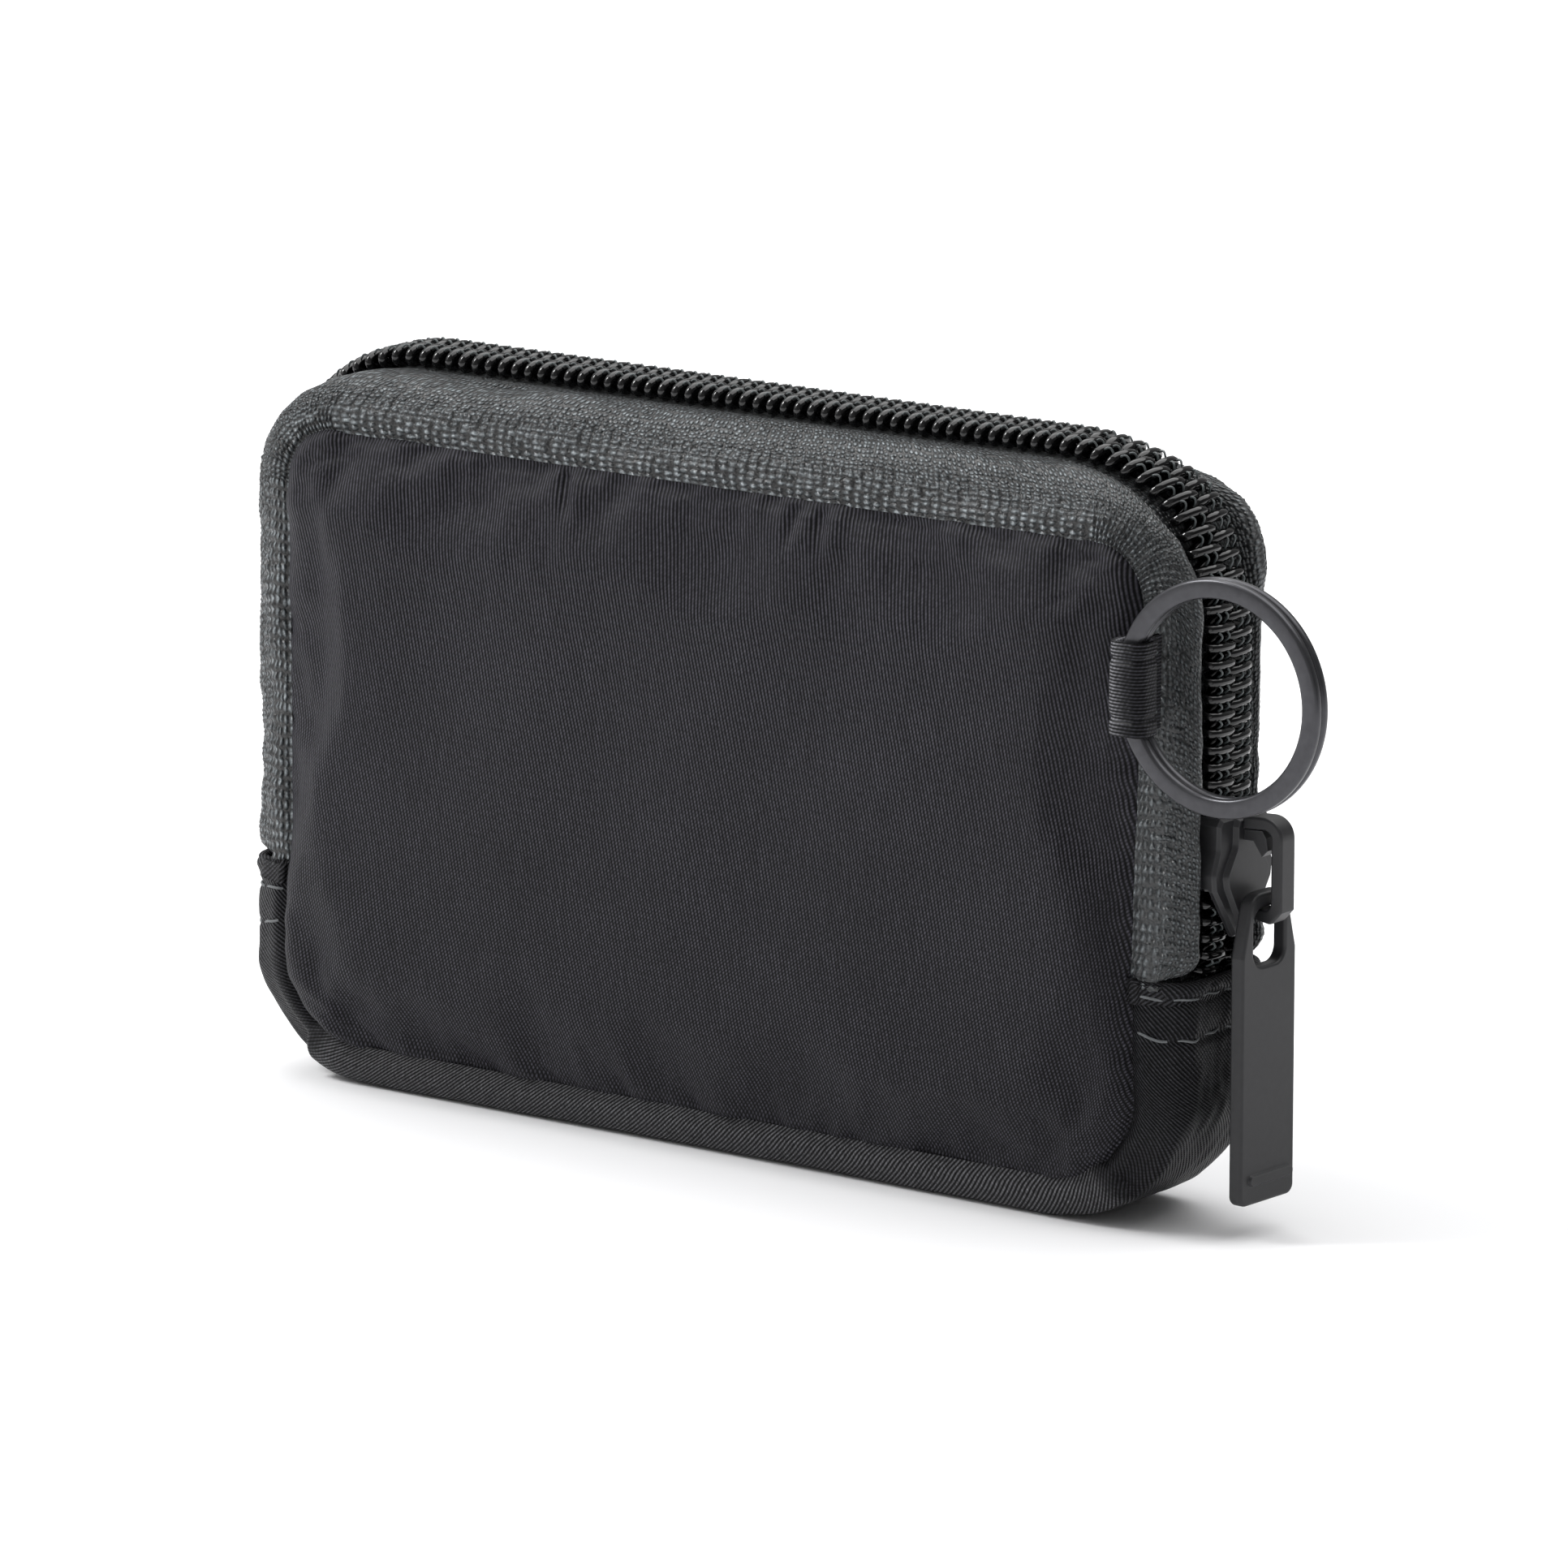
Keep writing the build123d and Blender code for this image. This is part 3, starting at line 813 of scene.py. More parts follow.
# %% Zip tape sections and beads
# half depth on the sides, side bulge, half depth on top, top bulge, corner radius
tape_keys = [
    (7.0, -0.3, 7.0, -0.3, 5.4),
    (7.3, 0.75, 7.25, 0.8, 6.2),
    (7.15, 1.8, 7.0, 1.8, 7.2),
    (6.6, 3.1, 6.4, 3.1, 9.0),
    (5.8, 4.3, 5.5, 4.3, 11.5),
    (5.1, 4.6, 4.6, 5.0, 13.0),
    (4.75, 4.0, 3.9, 5.4, 14.0),
    (4.65, 3.1, 3.5, 5.6, 14.6),
    (4.4, 2.6, 3.2, 5.6, 15.0),
    (1.0, 2.6, 1.0, 5.6, 15.0),
]
tape_thickness = 0.55
bead_along = 0.92
bead_across = 0.56


# %% [markdown]
# The beads come in rows by the seam and in a slant by the chain.  The grid
# then puts all the heights together: the rolled ends at the hems, soft waves
# where the tape is free, and beads where it is seated.


# %% Beads and the grid of a tape
def tape_beads(along, across):
    """Height of the knitted beads, 0 to 1; coarse by the seam, fine by the chain."""
    shift = 0.25 * ripple(along, across, 6.0, 3)
    fine = smooth_step(across, 3.6, 5.2)
    coarse_rows = 0.5 + 0.5 * np.cos(2 * np.pi * (along / bead_along + shift))
    coarse_cells = 0.5 + 0.5 * np.cos(2 * np.pi * across / bead_across)
    coarse = coarse_rows * (0.35 + 0.65 * coarse_cells)
    slant = along / 0.5 + across / 0.9
    small = 0.5 + 0.5 * np.cos(2 * np.pi * slant) * np.cos(2 * np.pi * across / 0.55)
    return coarse * (1 - fine) + 0.75 * small * fine


def hem_distance(turn, z):
    """Height above the nearer hem top, for a point on the arch."""
    return z - np.where(turn < 2.5, hem_left, hem_right)


def tape_grid(front, step):
    section, across = through(tape_keys, int(9.5 / step))
    y_side, side, y_top, top, radius = rows_and_columns(section, 5)
    tuck = 0.9
    ends = (hem_left - tuck, hem_right - tuck)
    turn, along = stations(seam_half + 2.6, seam_top + 4.5, 13.0, *ends, 1, step)
    over = on_long_run(turn)
    crest = np.maximum(0, side - 2.3)
    _, level_z = loop_points(turn, seam_half, seam_top, 13.0, *ends, 1)
    above = np.clip(hem_distance(turn, level_z) / np.where(turn < 2.5, 0.9, 1.9), 0, 1)
    round_end = np.sqrt(1 - (1 - above) ** 2)
    side = side - crest * (1 - round_end) - 0.35 * (1 - above)
    side = np.maximum(side, -0.3)
    x, z = loop_points(turn, seam_half + side, seam_top + top, radius, *ends, 1)
    y = y_side * (1 - over) + y_top * over
    y = np.broadcast_to(y, x.shape)
    grid = np.stack([x, -y if front else y, z], axis=-1)
    along_grid = np.broadcast_to(along, x.shape)
    across_grid = np.broadcast_to(across[:, None], x.shape)
    normal, _ = outward(grid)
    free = smooth_step(across_grid, 0.3, 2.0) * (1 - smooth_step(across_grid, 6.2, 7.0))
    seed = 11 if front else 12
    push = 0.22 * ripple(along_grid, 2 * across_grid, 14.0, seed) * free
    push = push + 0.08 * ripple(along_grid, 2 * across_grid, 4.0, seed + 5) * free
    beads = tape_beads(along_grid, across_grid)
    seated = smooth_step(across_grid, 0.0, 0.4) * (1 - smooth_step(across_grid, 5.0, 5.8))
    push = push + 0.26 * (beads - 0.4) * seated
    grid = grid + normal * push[..., None]
    return grid, along_grid, across_grid


# %% [markdown]
# Both tapes are built on a grid of 0.15 mm, fine enough for the beads.  Each
# rides on its own half of the pouch.

# %% Build both tapes
for half_name, is_front in (("front", True), ("back", False)):
    grid, along, across = tape_grid(is_front, 0.15)
    points, faces = shell(grid, tape_thickness)
    tape = piece(
        "tape_" + half_name,
        points,
        faces,
        tape_knit,
        half_name + "_half",
        weave_of(across, along),
    )
    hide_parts("zipper_tape_" + half_name)
    flat_size(grid[::3, ::3])

# %% [markdown]
# ## The coil chain
#
# A coil zip is two nylon springs whose loops mesh.  Each loop is a thick
# wire bent flat: it leaves the tape edge, crosses to a head in the middle,
# and comes back over the top, 1.5 mm further on.  The back spring is half
# a pitch ahead of the front one.  Below the slider the two part, and beside
# the post inside it the heads are held back from the middle.

# %% Coils and their sewing
coil_pitch = 1.5
wire_radius = 0.45
coil_reach = (2.9, -0.35)
coil_low_high = (0.46, 1.68)
# heights on the right side, and how far the halves stand apart at each
parting_z = (23.25, 24.4, 30.4, 33.0)
parting_y = (0.3, 0.7, 0.7, 0.0)
# heights near the post, and the least distance of the heads from the middle
post_z = (23.25, 24.2, 31.3, 33.0)
heads_from_middle = (-1.0, 1.12, 1.12, -1.0)
first_loop = 0.35


def chain_frame(along_points, lift, y_out, front):
    """Points at distances along the chain, lift above the tape and y from the middle."""
    half, level, radius = seam_half + 2.6, seam_top + 5.6, 15.0
    low_left, low_right = hem_left - 0.4, hem_right - 0.4
    turn_fine, along_fine = stations(half, level, radius, low_left, low_right, 1, 0.1)
    turn = np.interp(along_points, along_fine, turn_fine)
    _, level_z = loop_points(turn, half, level, radius, low_left, low_right, 1)
    sink = 1.1 * (1 - smooth_step(hem_distance(turn, level_z), -0.4, 2.2))
    rise = lift - sink
    x, z = loop_points(turn, half + rise, level + rise, radius + rise, low_left, low_right, 1)
    apart = np.where(turn > 4, np.interp(z, parting_z, parting_y), 0)
    clear = np.where(turn > 4, np.interp(z, post_z, heads_from_middle), -1.0)
    y = np.maximum(y_out + apart, clear)
    return np.stack([x, -y if front else y, z], axis=-1), along_fine[-1]


# %% [markdown]
# A loop is a circle pressed towards a rectangle, carried along the chain.
# Most of its step forward happens on the way back, which gives the slanting
# backs that a coil shows.  The sewing threads ride over the same loops.


# %% The spring and its sewing threads
def coil_line(front):
    _, total = chain_frame(np.zeros(1), np.zeros(1), np.zeros(1), front)
    turns = total / coil_pitch - 0.6
    angle = np.arange(0, turns * 2 * np.pi, 2 * np.pi / 20)
    start = first_loop + (0.0 if front else coil_pitch / 2)
    across = np.cos(angle)
    height = np.sin(angle)
    square = 1 / np.maximum(np.abs(across), np.abs(height))
    fill = 1 + 0.22 * (square - 1)
    middle = (coil_reach[0] + coil_reach[1]) / 2
    reach = (coil_reach[0] - coil_reach[1]) / 2
    lift_middle = (coil_low_high[0] + coil_low_high[1]) / 2
    lift_reach = (coil_low_high[1] - coil_low_high[0]) / 2
    y_out = middle + reach * np.clip(across * fill, -1, 1)
    lift = lift_middle + lift_reach * np.clip(height * fill, -1, 1)
    turn_share = angle / (2 * np.pi)
    whole = np.floor(turn_share)
    slant = 0.3 * (turn_share - whole) + 0.7 * smooth_step(turn_share - whole, 0.42, 1.0)
    along = start + coil_pitch * (whole + slant)
    line, _ = chain_frame(along, lift, y_out, front)
    return line


def sewing_line(front, y_out):
    """A thread that rises over each loop and dips between loops."""
    _, total = chain_frame(np.zeros(1), np.zeros(1), np.zeros(1), front)
    along = np.arange(0.4, total - 0.4, 0.12)
    start = first_loop + (0.0 if front else coil_pitch / 2)
    turns = 2 * np.pi * (along - start) / coil_pitch
    lift = 1.7 + 0.34 * np.sin(turns - 1.2)
    wave = y_out + 0.12 * np.cos(turns - 1.2)
    line, _ = chain_frame(along, lift, wave, front)
    return line


# %% [markdown]
# Each side is one spring of nylon with two rows of thread.

# %% Build both sides of the chain
for half_name, is_front in (("front", True), ("back", False)):
    body = half_name + "_half"
    spring = [coil_line(is_front)]
    coil = wires("coil_" + half_name, spring, wire_radius, filament, body)
    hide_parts("zipper_coil_" + half_name)
    threads = [sewing_line(is_front, y_out) for y_out in (1.05, 2.15)]
    sewing_name = "coil_sewing_" + half_name
    sewing = wires(sewing_name + "_thread", threads, 0.1, coil_thread, body)
    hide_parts(sewing_name)

# %% [markdown]
# ## The lower gusset
#
# One strip of twill passes from hem to hem under the pouch. It rolls
# outwards on the sides, lies flat underneath, and is pinched where it turns
# the two lower corners. Its ends are folded in over the tape ends and held
# by two rows of stitches, which pull the cloth down.

# %% Gusset sections and hems
# half depth, side bulge, bottom bulge, corner radius
gusset_keys = [
    (6.95, -0.3, -0.3, 7.8),
    (7.3, 0.8, 0.8, 8.3),
    (7.0, 1.8, 1.9, 8.7),
    (6.1, 3.1, 3.2, 9.5),
    (4.5, 3.8, 3.6, 10.0),
    (1.5, 3.95, 3.6, 10.2),
]
gusset_keys += [(-key[0], *key[1:]) for key in reversed(gusset_keys)]
gusset_thickness = 0.45
gusset_step = 0.25
gusset_half_depth = 7.4
fold_radius = 0.5
fold_depth = 1.6
rows_right = (1.6, 5.2)
rows_left = (2.7, 6.3)


def dent(distance, width):
    return np.exp(-((distance / width) ** 2))


def hem_push(turn, below):
    """How far hems and stitch rows move the cloth out, at a depth below the hem."""
    right = 0.45 * dent(below - 0.5, 0.9) + 0.2 * dent(below - 3.4, 1.2)
    left = 0.8 * dent(below - 0.85, 0.9) + 0.1 * dent(below - 4.5, 1.4) + 0.65
    for row in rows_right:
        right = right - 0.3 * dent(below - row, 0.38)
    for row in rows_left:
        left = left - 0.28 * dent(below - row, 0.35)
    return np.where(turn < 2.5, left, right)


def corner_push(turn, y):
    """The pinch where the gusset turns a lower corner: a pressed side, a fold, a puff."""
    inset = gusset_half_depth - np.abs(y)
    from_seam = smooth_step(inset, 0.2, 3.5)
    near_seam = smooth_step(np.abs(y), 4.8, 6.4) * smooth_step(inset, 0.0, 0.5)
    push = 0.0
    for left, strength in ((True, 1.0), (False, 0.8)):
        inward = turn - 1 if left else 4 - turn
        fold = inward - 0.66 - 0.2 * from_seam
        pressed_and_shaded = smooth_step(fold, -0.7, -0.04) * (1 - smooth_step(fold, -0.03, 0.0))
        puff = smooth_step(fold, -0.015, 0.03) * (1 - smooth_step(fold, 0.1, 0.9))
        push = push + strength * near_seam * (0.3 * puff - 0.6 * pressed_and_shaded)
    return push


# %% [markdown]
# The grid runs from one folded end to the other.  At each end the cloth goes
# on past the hem line, round a small radius and down inside.


# %% The grid of the gusset
def gusset_grid(step):
    section, across = through(gusset_keys, int(21 / step))
    y, side, bottom, radius = rows_and_columns(section, 4)
    left_top, right_top = hem_left - fold_radius, hem_right - fold_radius
    turn, along = stations(seam_half + 2.5, seam_bottom - 2.5, 9.5, left_top, right_top, -1, step)
    fold_length = np.pi * fold_radius + fold_depth
    extra = np.arange(fold_length, step * 0.5, -step)
    turn = np.concatenate([0 * extra, turn, 0 * extra + 5])
    beyond = np.concatenate([extra, 0 * along, extra[::-1]])
    along = np.concatenate([-extra, along, along[-1] + extra[::-1]])
    x, z = loop_points(
        turn, seam_half + side, seam_bottom - bottom, radius, left_top, right_top, -1
    )
    swing = np.minimum(beyond / fold_radius, np.pi)
    depth_below = np.where(turn < 2.5, left_top - z, right_top - z) + 0.35
    off_seam = smooth_step(gusset_half_depth - np.abs(y), 0.1, 1.6)
    push = hem_push(turn, depth_below) * off_seam * (1 - on_long_run(turn))
    tuck = fold_radius * (1 - np.cos(swing)) * np.clip(side / 1.5, 0.1, 1)
    x = x + np.sign(x) * (push * (1 - on_long_run(turn)) - tuck)
    z = z + fold_radius * np.sin(swing) - np.maximum(beyond - np.pi * fold_radius, 0)
    z = z - push * on_long_run(turn)
    y = np.broadcast_to(y, x.shape)
    grid = np.stack([x, y, z], axis=-1)
    along_grid = np.broadcast_to(along, x.shape)
    across_grid = np.broadcast_to(across[:, None], x.shape)
    normal, _ = outward(grid)
    wave = 0.16 * ripple(along_grid, 2 * across_grid, 11.0, 21)
    wave = wave + 0.06 * ripple(along_grid, 2 * across_grid, 4.0, 22)
    calm = 1 - 0.8 * on_long_run(turn)
    wave = wave * off_seam * calm * (beyond == 0) + corner_push(turn, y)
    grid = grid + normal * wave[..., None]
    grid[..., 2] = np.maximum(grid[..., 2], table_gap)
    return grid, along_grid, across_grid


# %% [markdown]
# The gusset rides on neither half: its points are baked in place as built.

# %% Build the gusset
gusset_points, along, across = gusset_grid(gusset_step)
points, faces = shell(gusset_points, gusset_thickness)
weave = weave_of(across, along)
gusset = piece("gusset_cloth", points, faces, gusset_twill, None, weave)
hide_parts("lower_gusset")
flat_size(gusset_points)
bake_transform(gusset)


# %% [markdown]
# The gusset has a thin lining of its own, a little inside the twill.  It
# shows only when the pouch is open, so a plain sheet from the same section
# is enough.

# %% Gusset lining
lining_inside = 0.95
lining_keys = [
    (depth * 0.85, max(side - lining_inside, 0), max(bottom - lining_inside, 0), radius - 0.6)
    for depth, side, bottom, radius in gusset_keys
]
section, across = through(lining_keys, 30)
y, side, bottom, radius = rows_and_columns(section, 4)
ends = (hem_left - 2.4, hem_right - 2.4)
turn, along = stations(seam_half + 2, seam_bottom - 2, 9, *ends, -1, 1.0)
x, z = loop_points(turn, seam_half + side, seam_bottom - bottom, radius, *ends, -1)
y = np.broadcast_to(y, x.shape)
along = np.broadcast_to(along, x.shape)
across = np.broadcast_to(across[:, None], x.shape)
inside = np.stack([x, y, z], axis=-1)
points, faces = shell(inside, 0.2)
weave = weave_of(across, along)
gusset_lining = piece("gusset_lining_cloth", points, faces, lining_weave, None, weave)
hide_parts("gusset_lining")
flat_size(inside)
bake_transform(gusset_lining)

# %% [markdown]
# ## Hem stitches
#
# Two rows of lock stitch hold each hem.  A stitch is a short arch of thread
# that rises out of one needle hole and goes into the next, 3.1 mm apart.
# Real arches of thread catch the light, which painted dashes would not.


# %% Hem stitches
def section_at(cloth, sign, height):
    """The line across the gusset at a height on one side, and its outward normals."""
    normal, _ = outward(cloth)
    middle = cloth[len(cloth) // 2]
    far = 99
    on_side = middle[:, 0] * sign > seam_half - 2
    gap = np.abs(middle[:, 2] - height) + np.where(on_side, 0, far)
    fold = int((np.pi * fold_radius + fold_depth) / gusset_step) + 1
    gap[:fold] += far
    gap[-fold:] += far
    column = int(np.argmin(gap))
    return cloth[:, column], normal[:, column]


def stitch_lines(cloth, sign, heights, pitch=3.1, length=2.3):
    lines = []
    for number, height in enumerate(heights):
        line, normal = section_at(cloth, sign, height)
        steps = np.linalg.norm(np.diff(line, axis=0), axis=1)
        reach = np.concatenate([[0], np.cumsum(steps)])
        last = reach[-1] - length - 0.5 - 0.4 * number
        for start in np.arange(last, 0.4, -pitch):
            spots = start + length * np.linspace(0, 1, 11)
            arch = 0.17 * np.sin(np.pi * np.linspace(0, 1, 11)) - 0.06
            path = np.column_stack([np.interp(spots, reach, column) for column in line.T])
            facing = np.column_stack([np.interp(spots, reach, column) for column in normal.T])
            path = path + facing * arch[:, None]
            path[:, 2] += 0.1 * np.sin(spots * 2.1)
            lines.append(path)
    return lines


hems = (("right", 1, hem_right, rows_right), ("left", -1, hem_left, rows_left))
for name, sign, top, rows in hems:
    lines = stitch_lines(gusset_points, sign, [top - row for row in rows])
    stitches = wires("hem_thread_" + name, lines, 0.13, thread_grey)
    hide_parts("hem_stitches_" + name)
    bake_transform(stitches)

# %% [markdown]
# ## The padded panels
#
# Each panel is twill over 2 mm of foam, sewn in all round and slightly
# gathered, so it swells like a thin cushion.  The swelling is simulated as
# cloth with a little air pressure, pinned at the seam.  Gathers and the
# few pinched dimples under the top seam are pressed in afterwards.


# %% Panel outline and profile
top_round, bottom_round = 5.5, 8.0


def seam_inset(x, z):
    """Distance in from the seam line, on the flat of the panel."""
    middle = (seam_top + seam_bottom) / 2
    radius = np.where(z > middle, top_round, bottom_round)
    reach_x = np.abs(x) - seam_half + radius
    reach_z = np.abs(z - middle) - (seam_top - seam_bottom) / 2 + radius
    outside = np.hypot(np.maximum(reach_x, 0), np.maximum(reach_z, 0))
    return radius - outside - np.minimum(np.maximum(reach_x, reach_z), 0)


def panel_rows(count):
    """Heights and half widths of the panel, closer together at the corners."""
    t = np.linspace(0, 1, count)
    ease = t - 0.12 * np.sin(2 * np.pi * t)
    z = seam_bottom + (seam_top - seam_bottom) * ease
    up = np.maximum(z - (seam_top - top_round), 0)
    down = np.maximum(seam_bottom + bottom_round - z, 0)
    half = seam_half - (top_round - np.sqrt(np.maximum(top_round**2 - up**2, 0)))
    half = half - (bottom_round - np.sqrt(np.maximum(bottom_round**2 - down**2, 0)))
    return z, half


def panel_sheet(rows, columns):
    z, half = panel_rows(rows)
    a = np.linspace(-1, 1, columns)
    return np.outer(half, a), np.broadcast_to(z[:, None], (rows, columns))


# how far out the panel stands, at distances in from its seam
pillow_inset = (0.0, 0.35, 1.2, 3.0, 7.0, 14.0)
pillow_depth = (6.8, 7.35, 8.2, 8.95, 9.45, 9.6)


def smooth_grid(values, passes):
    """Even out a grid of values, leaving its border alone."""
    values = values.copy()
    for _ in range(passes):
        around = values[:-2, 1:-1] + values[2:, 1:-1] + values[1:-1, :-2] + values[1:-1, 2:]
        values[1:-1, 1:-1] = around / 4
    return values


print("the panel swells from", pillow_depth[0], "to", pillow_depth[-1], "mm from the middle")


# %% [markdown]
# The swelling is simulated on a coarse closed cushion, because the movement
# is smooth and a fine mesh would take minutes.  Its border and its flat back
# are pinned, air pressure pushes the front out, and only the movement is
# kept, to be read back onto the fine panel.

# %% Simulate the swelling on a coarse panel
def simulated_swell(rows, columns):
    """How far each point of a coarse panel moves when it is blown up a little."""
    x, z = panel_sheet(rows, columns)
    depth = np.interp(seam_inset(x, z), pillow_inset, pillow_depth)
    front = np.stack([x, -depth, z], axis=-1)
    back = np.stack([x, 0 * depth - 6.9, z], axis=-1)[1:-1, 1:-1]
    index = np.arange(rows * columns).reshape(rows, columns)
    faces = [quads(index, True)]
    back_index = index.copy()
    back_index[1:-1, 1:-1] = rows * columns + np.arange(back[..., 0].size).reshape(
        rows - 2, columns - 2
    )
    faces.append(quads(back_index, False))
    points = np.concatenate([front.reshape(-1, 3), back.reshape(-1, 3)])
    mesh = bpy.data.meshes.new("swell")
    mesh.from_pydata((points * MM).tolist(), [], np.concatenate(faces).tolist())
    trial = bpy.data.objects.new("swell", mesh)
    bpy.context.scene.collection.objects.link(trial)
    pins = trial.vertex_groups.new(name="sewn")
    held = set(range(rows * columns, len(points)))
    held |= set(index[0]) | set(index[-1]) | set(index[:, 0]) | set(index[:, -1])
    pins.add([int(i) for i in held], 1.0, "ADD")
    cloth = trial.modifiers.new("cloth", "CLOTH")
    cloth.settings.vertex_group_mass = "sewn"
    cloth.settings.quality = 6
    cloth.settings.mass = 0.05
    cloth.settings.tension_stiffness = 25
    cloth.settings.compression_stiffness = 25
    cloth.settings.bending_stiffness = 4
    cloth.settings.shrink_min = -0.012
    cloth.settings.use_pressure = True
    cloth.settings.uniform_pressure_force = 4
    cloth.settings.effector_weights.gravity = 0
    cloth.collision_settings.use_collision = False
    cloth.point_cache.frame_start = 1
    cloth.point_cache.frame_end = 20
    for frame_number in range(1, 21):
        bpy.context.scene.frame_set(frame_number)
    depsgraph = bpy.context.evaluated_depsgraph_get()
    settled = trial.evaluated_get(depsgraph)
    after = np.empty(len(points) * 3)
    settled.data.vertices.foreach_get("co", after)
    moved = (after.reshape(-1, 3) / MM - points)[: rows * columns].reshape(rows, columns, 3)
    bpy.data.objects.remove(trial)
    bpy.context.scene.frame_set(1)
    print("cloth moved at most", round(float(np.abs(moved).max()), 2), "mm")
    return moved


def finer(values, rows, columns):
    """A grid of values read again at more rows and columns."""
    old_rows, old_columns = values.shape
    by_column = [
        np.interp(np.linspace(0, 1, rows), np.linspace(0, 1, old_rows), values[:, i])
        for i in range(old_columns)
    ]
    tall = np.array(by_column).T
    by_row = [
        np.interp(np.linspace(0, 1, columns), np.linspace(0, 1, old_columns), row) for row in tall
    ]
    return np.array(by_row)


coarse = (34, 54)
swell = simulated_swell(*coarse)
cap = 0.9
swell = np.clip(swell, -cap, cap)

# %% [markdown]
# A sewn panel is gathered along its seam, and under the top seam a few deeper
# pinches run down into the cloth.  Both are finer than the simulation, so
# they are pressed in by moving points: waves that die away from the seam, and
# a narrow furrow with a low ridge beside it for each pinch.

# %% Press in gathers and dimples, and build both panels
# x at the seam, lean, length, depth of each pinch
dimples = [(-15.2, 0.3, 5.2, 0.6), (10.6, -0.1, 5.0, 0.45), (13.2, 0.15, 5.4, 0.4)]


def pinch(x, z):
    """Depth of the gathers along the seam and of the dimples at the top."""
    inset = seam_inset(x, z)
    run = np.where(np.abs(x) / seam_half > np.abs(z - 32) / 29, z, x)
    gathers = 0.22 * ripple(run, inset * 0.3, 6.0, 31) * np.exp(-inset / 4.0)
    gathers = gathers + 0.12 * ripple(run, inset * 0.2, 2.6, 33) * np.exp(-inset / 2.0)
    total = gathers * smooth_step(inset, 0.0, 0.5)
    for place, lean, length, depth in dimples:
        down = seam_top - z
        off = x - place - lean * down
        fade = smooth_step(down, 0.3, 1.2) * (1 - smooth_step(down, length * 0.5, length))
        total = total - depth * dent(off, 0.7) * fade + 0.45 * depth * dent(off - 1.5, 0.9) * fade
    return total


fine = (240, 380)
foam_back = 6.75
x, z = panel_sheet(*fine)
inset = seam_inset(x, z)
depth = smooth_grid(np.interp(inset, pillow_inset, pillow_depth), 14)
swell_out = smooth_grid(finer(-swell[..., 1], *fine), 6)
swell_x = smooth_grid(finer(swell[..., 0], *fine), 6)
swell_z = smooth_grid(finer(swell[..., 2], *fine), 6)
broad = 0.12 * ripple(x, z, 26.0, 41) * smooth_step(inset, 1.0, 8.0)
outer = depth + swell_out + broad + pinch(x, z)
for half_name, sign in (("front", -1), ("back", 1)):
    mirrored = outer if sign < 0 else outer[:, ::-1]
    shift_x = swell_x if sign < 0 else -swell_x[:, ::-1]
    shift_z = swell_z if sign < 0 else swell_z[:, ::-1]
    grid = np.stack([x + shift_x, sign * mirrored, z + shift_z], axis=-1)
    backing = np.stack([x, 0 * x + sign * foam_back, z], axis=-1)
    points, faces = closed_sheet(grid, backing, sign < 0)
    panel = piece(
        half_name + "_padded_panel",
        points,
        faces,
        panel_twill,
        half_name + "_half",
        weave_of(z, x * (1 if sign < 0 else -1)),
    )
    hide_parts(half_name + "_panel", half_name + "_foam")

# %% [markdown]
# ## Lining and seam binding
#
# Inside, a thin lining covers the foam, and a bias binding wraps the seam
# allowances.  They show only when the pouch is open.  The binding is a flat
# oval section carried round the seam line, with a slight pucker at each
# stitch.


# %% A loop round the panel
def rounded_loop(inset, count_corner):
    """Points round the panel outline, drawn in by an inset."""
    half = seam_half - inset
    low, high = seam_bottom + inset, seam_top - inset
    top, bottom = top_round - 0.25 * inset, bottom_round - 0.25 * inset
    corners = [
        (half - top, high - top, top, 0),
        (-half + top, high - top, top, 90),
        (-half + bottom, low + bottom, bottom, 180),
        (half - bottom, low + bottom, bottom, 270),
    ]
    line = []
    for cx, cz, radius, start in corners:
        for swing in np.radians(np.linspace(start, start + 90, count_corner)):
            line.append((cx + radius * np.cos(swing), cz + radius * np.sin(swing)))
    line = np.array(line + [line[0]])
    length = np.concatenate([[0], np.cumsum(np.linalg.norm(np.diff(line, axis=0), axis=1))])
    even = np.linspace(0, length[-1], 700)
    return np.column_stack([np.interp(even, length, line[:, i]) for i in (0, 1)]), even


# %% [markdown]
# Binding and lining are built together for each half, since both are hung on
# the same outline, the lining inside the binding.

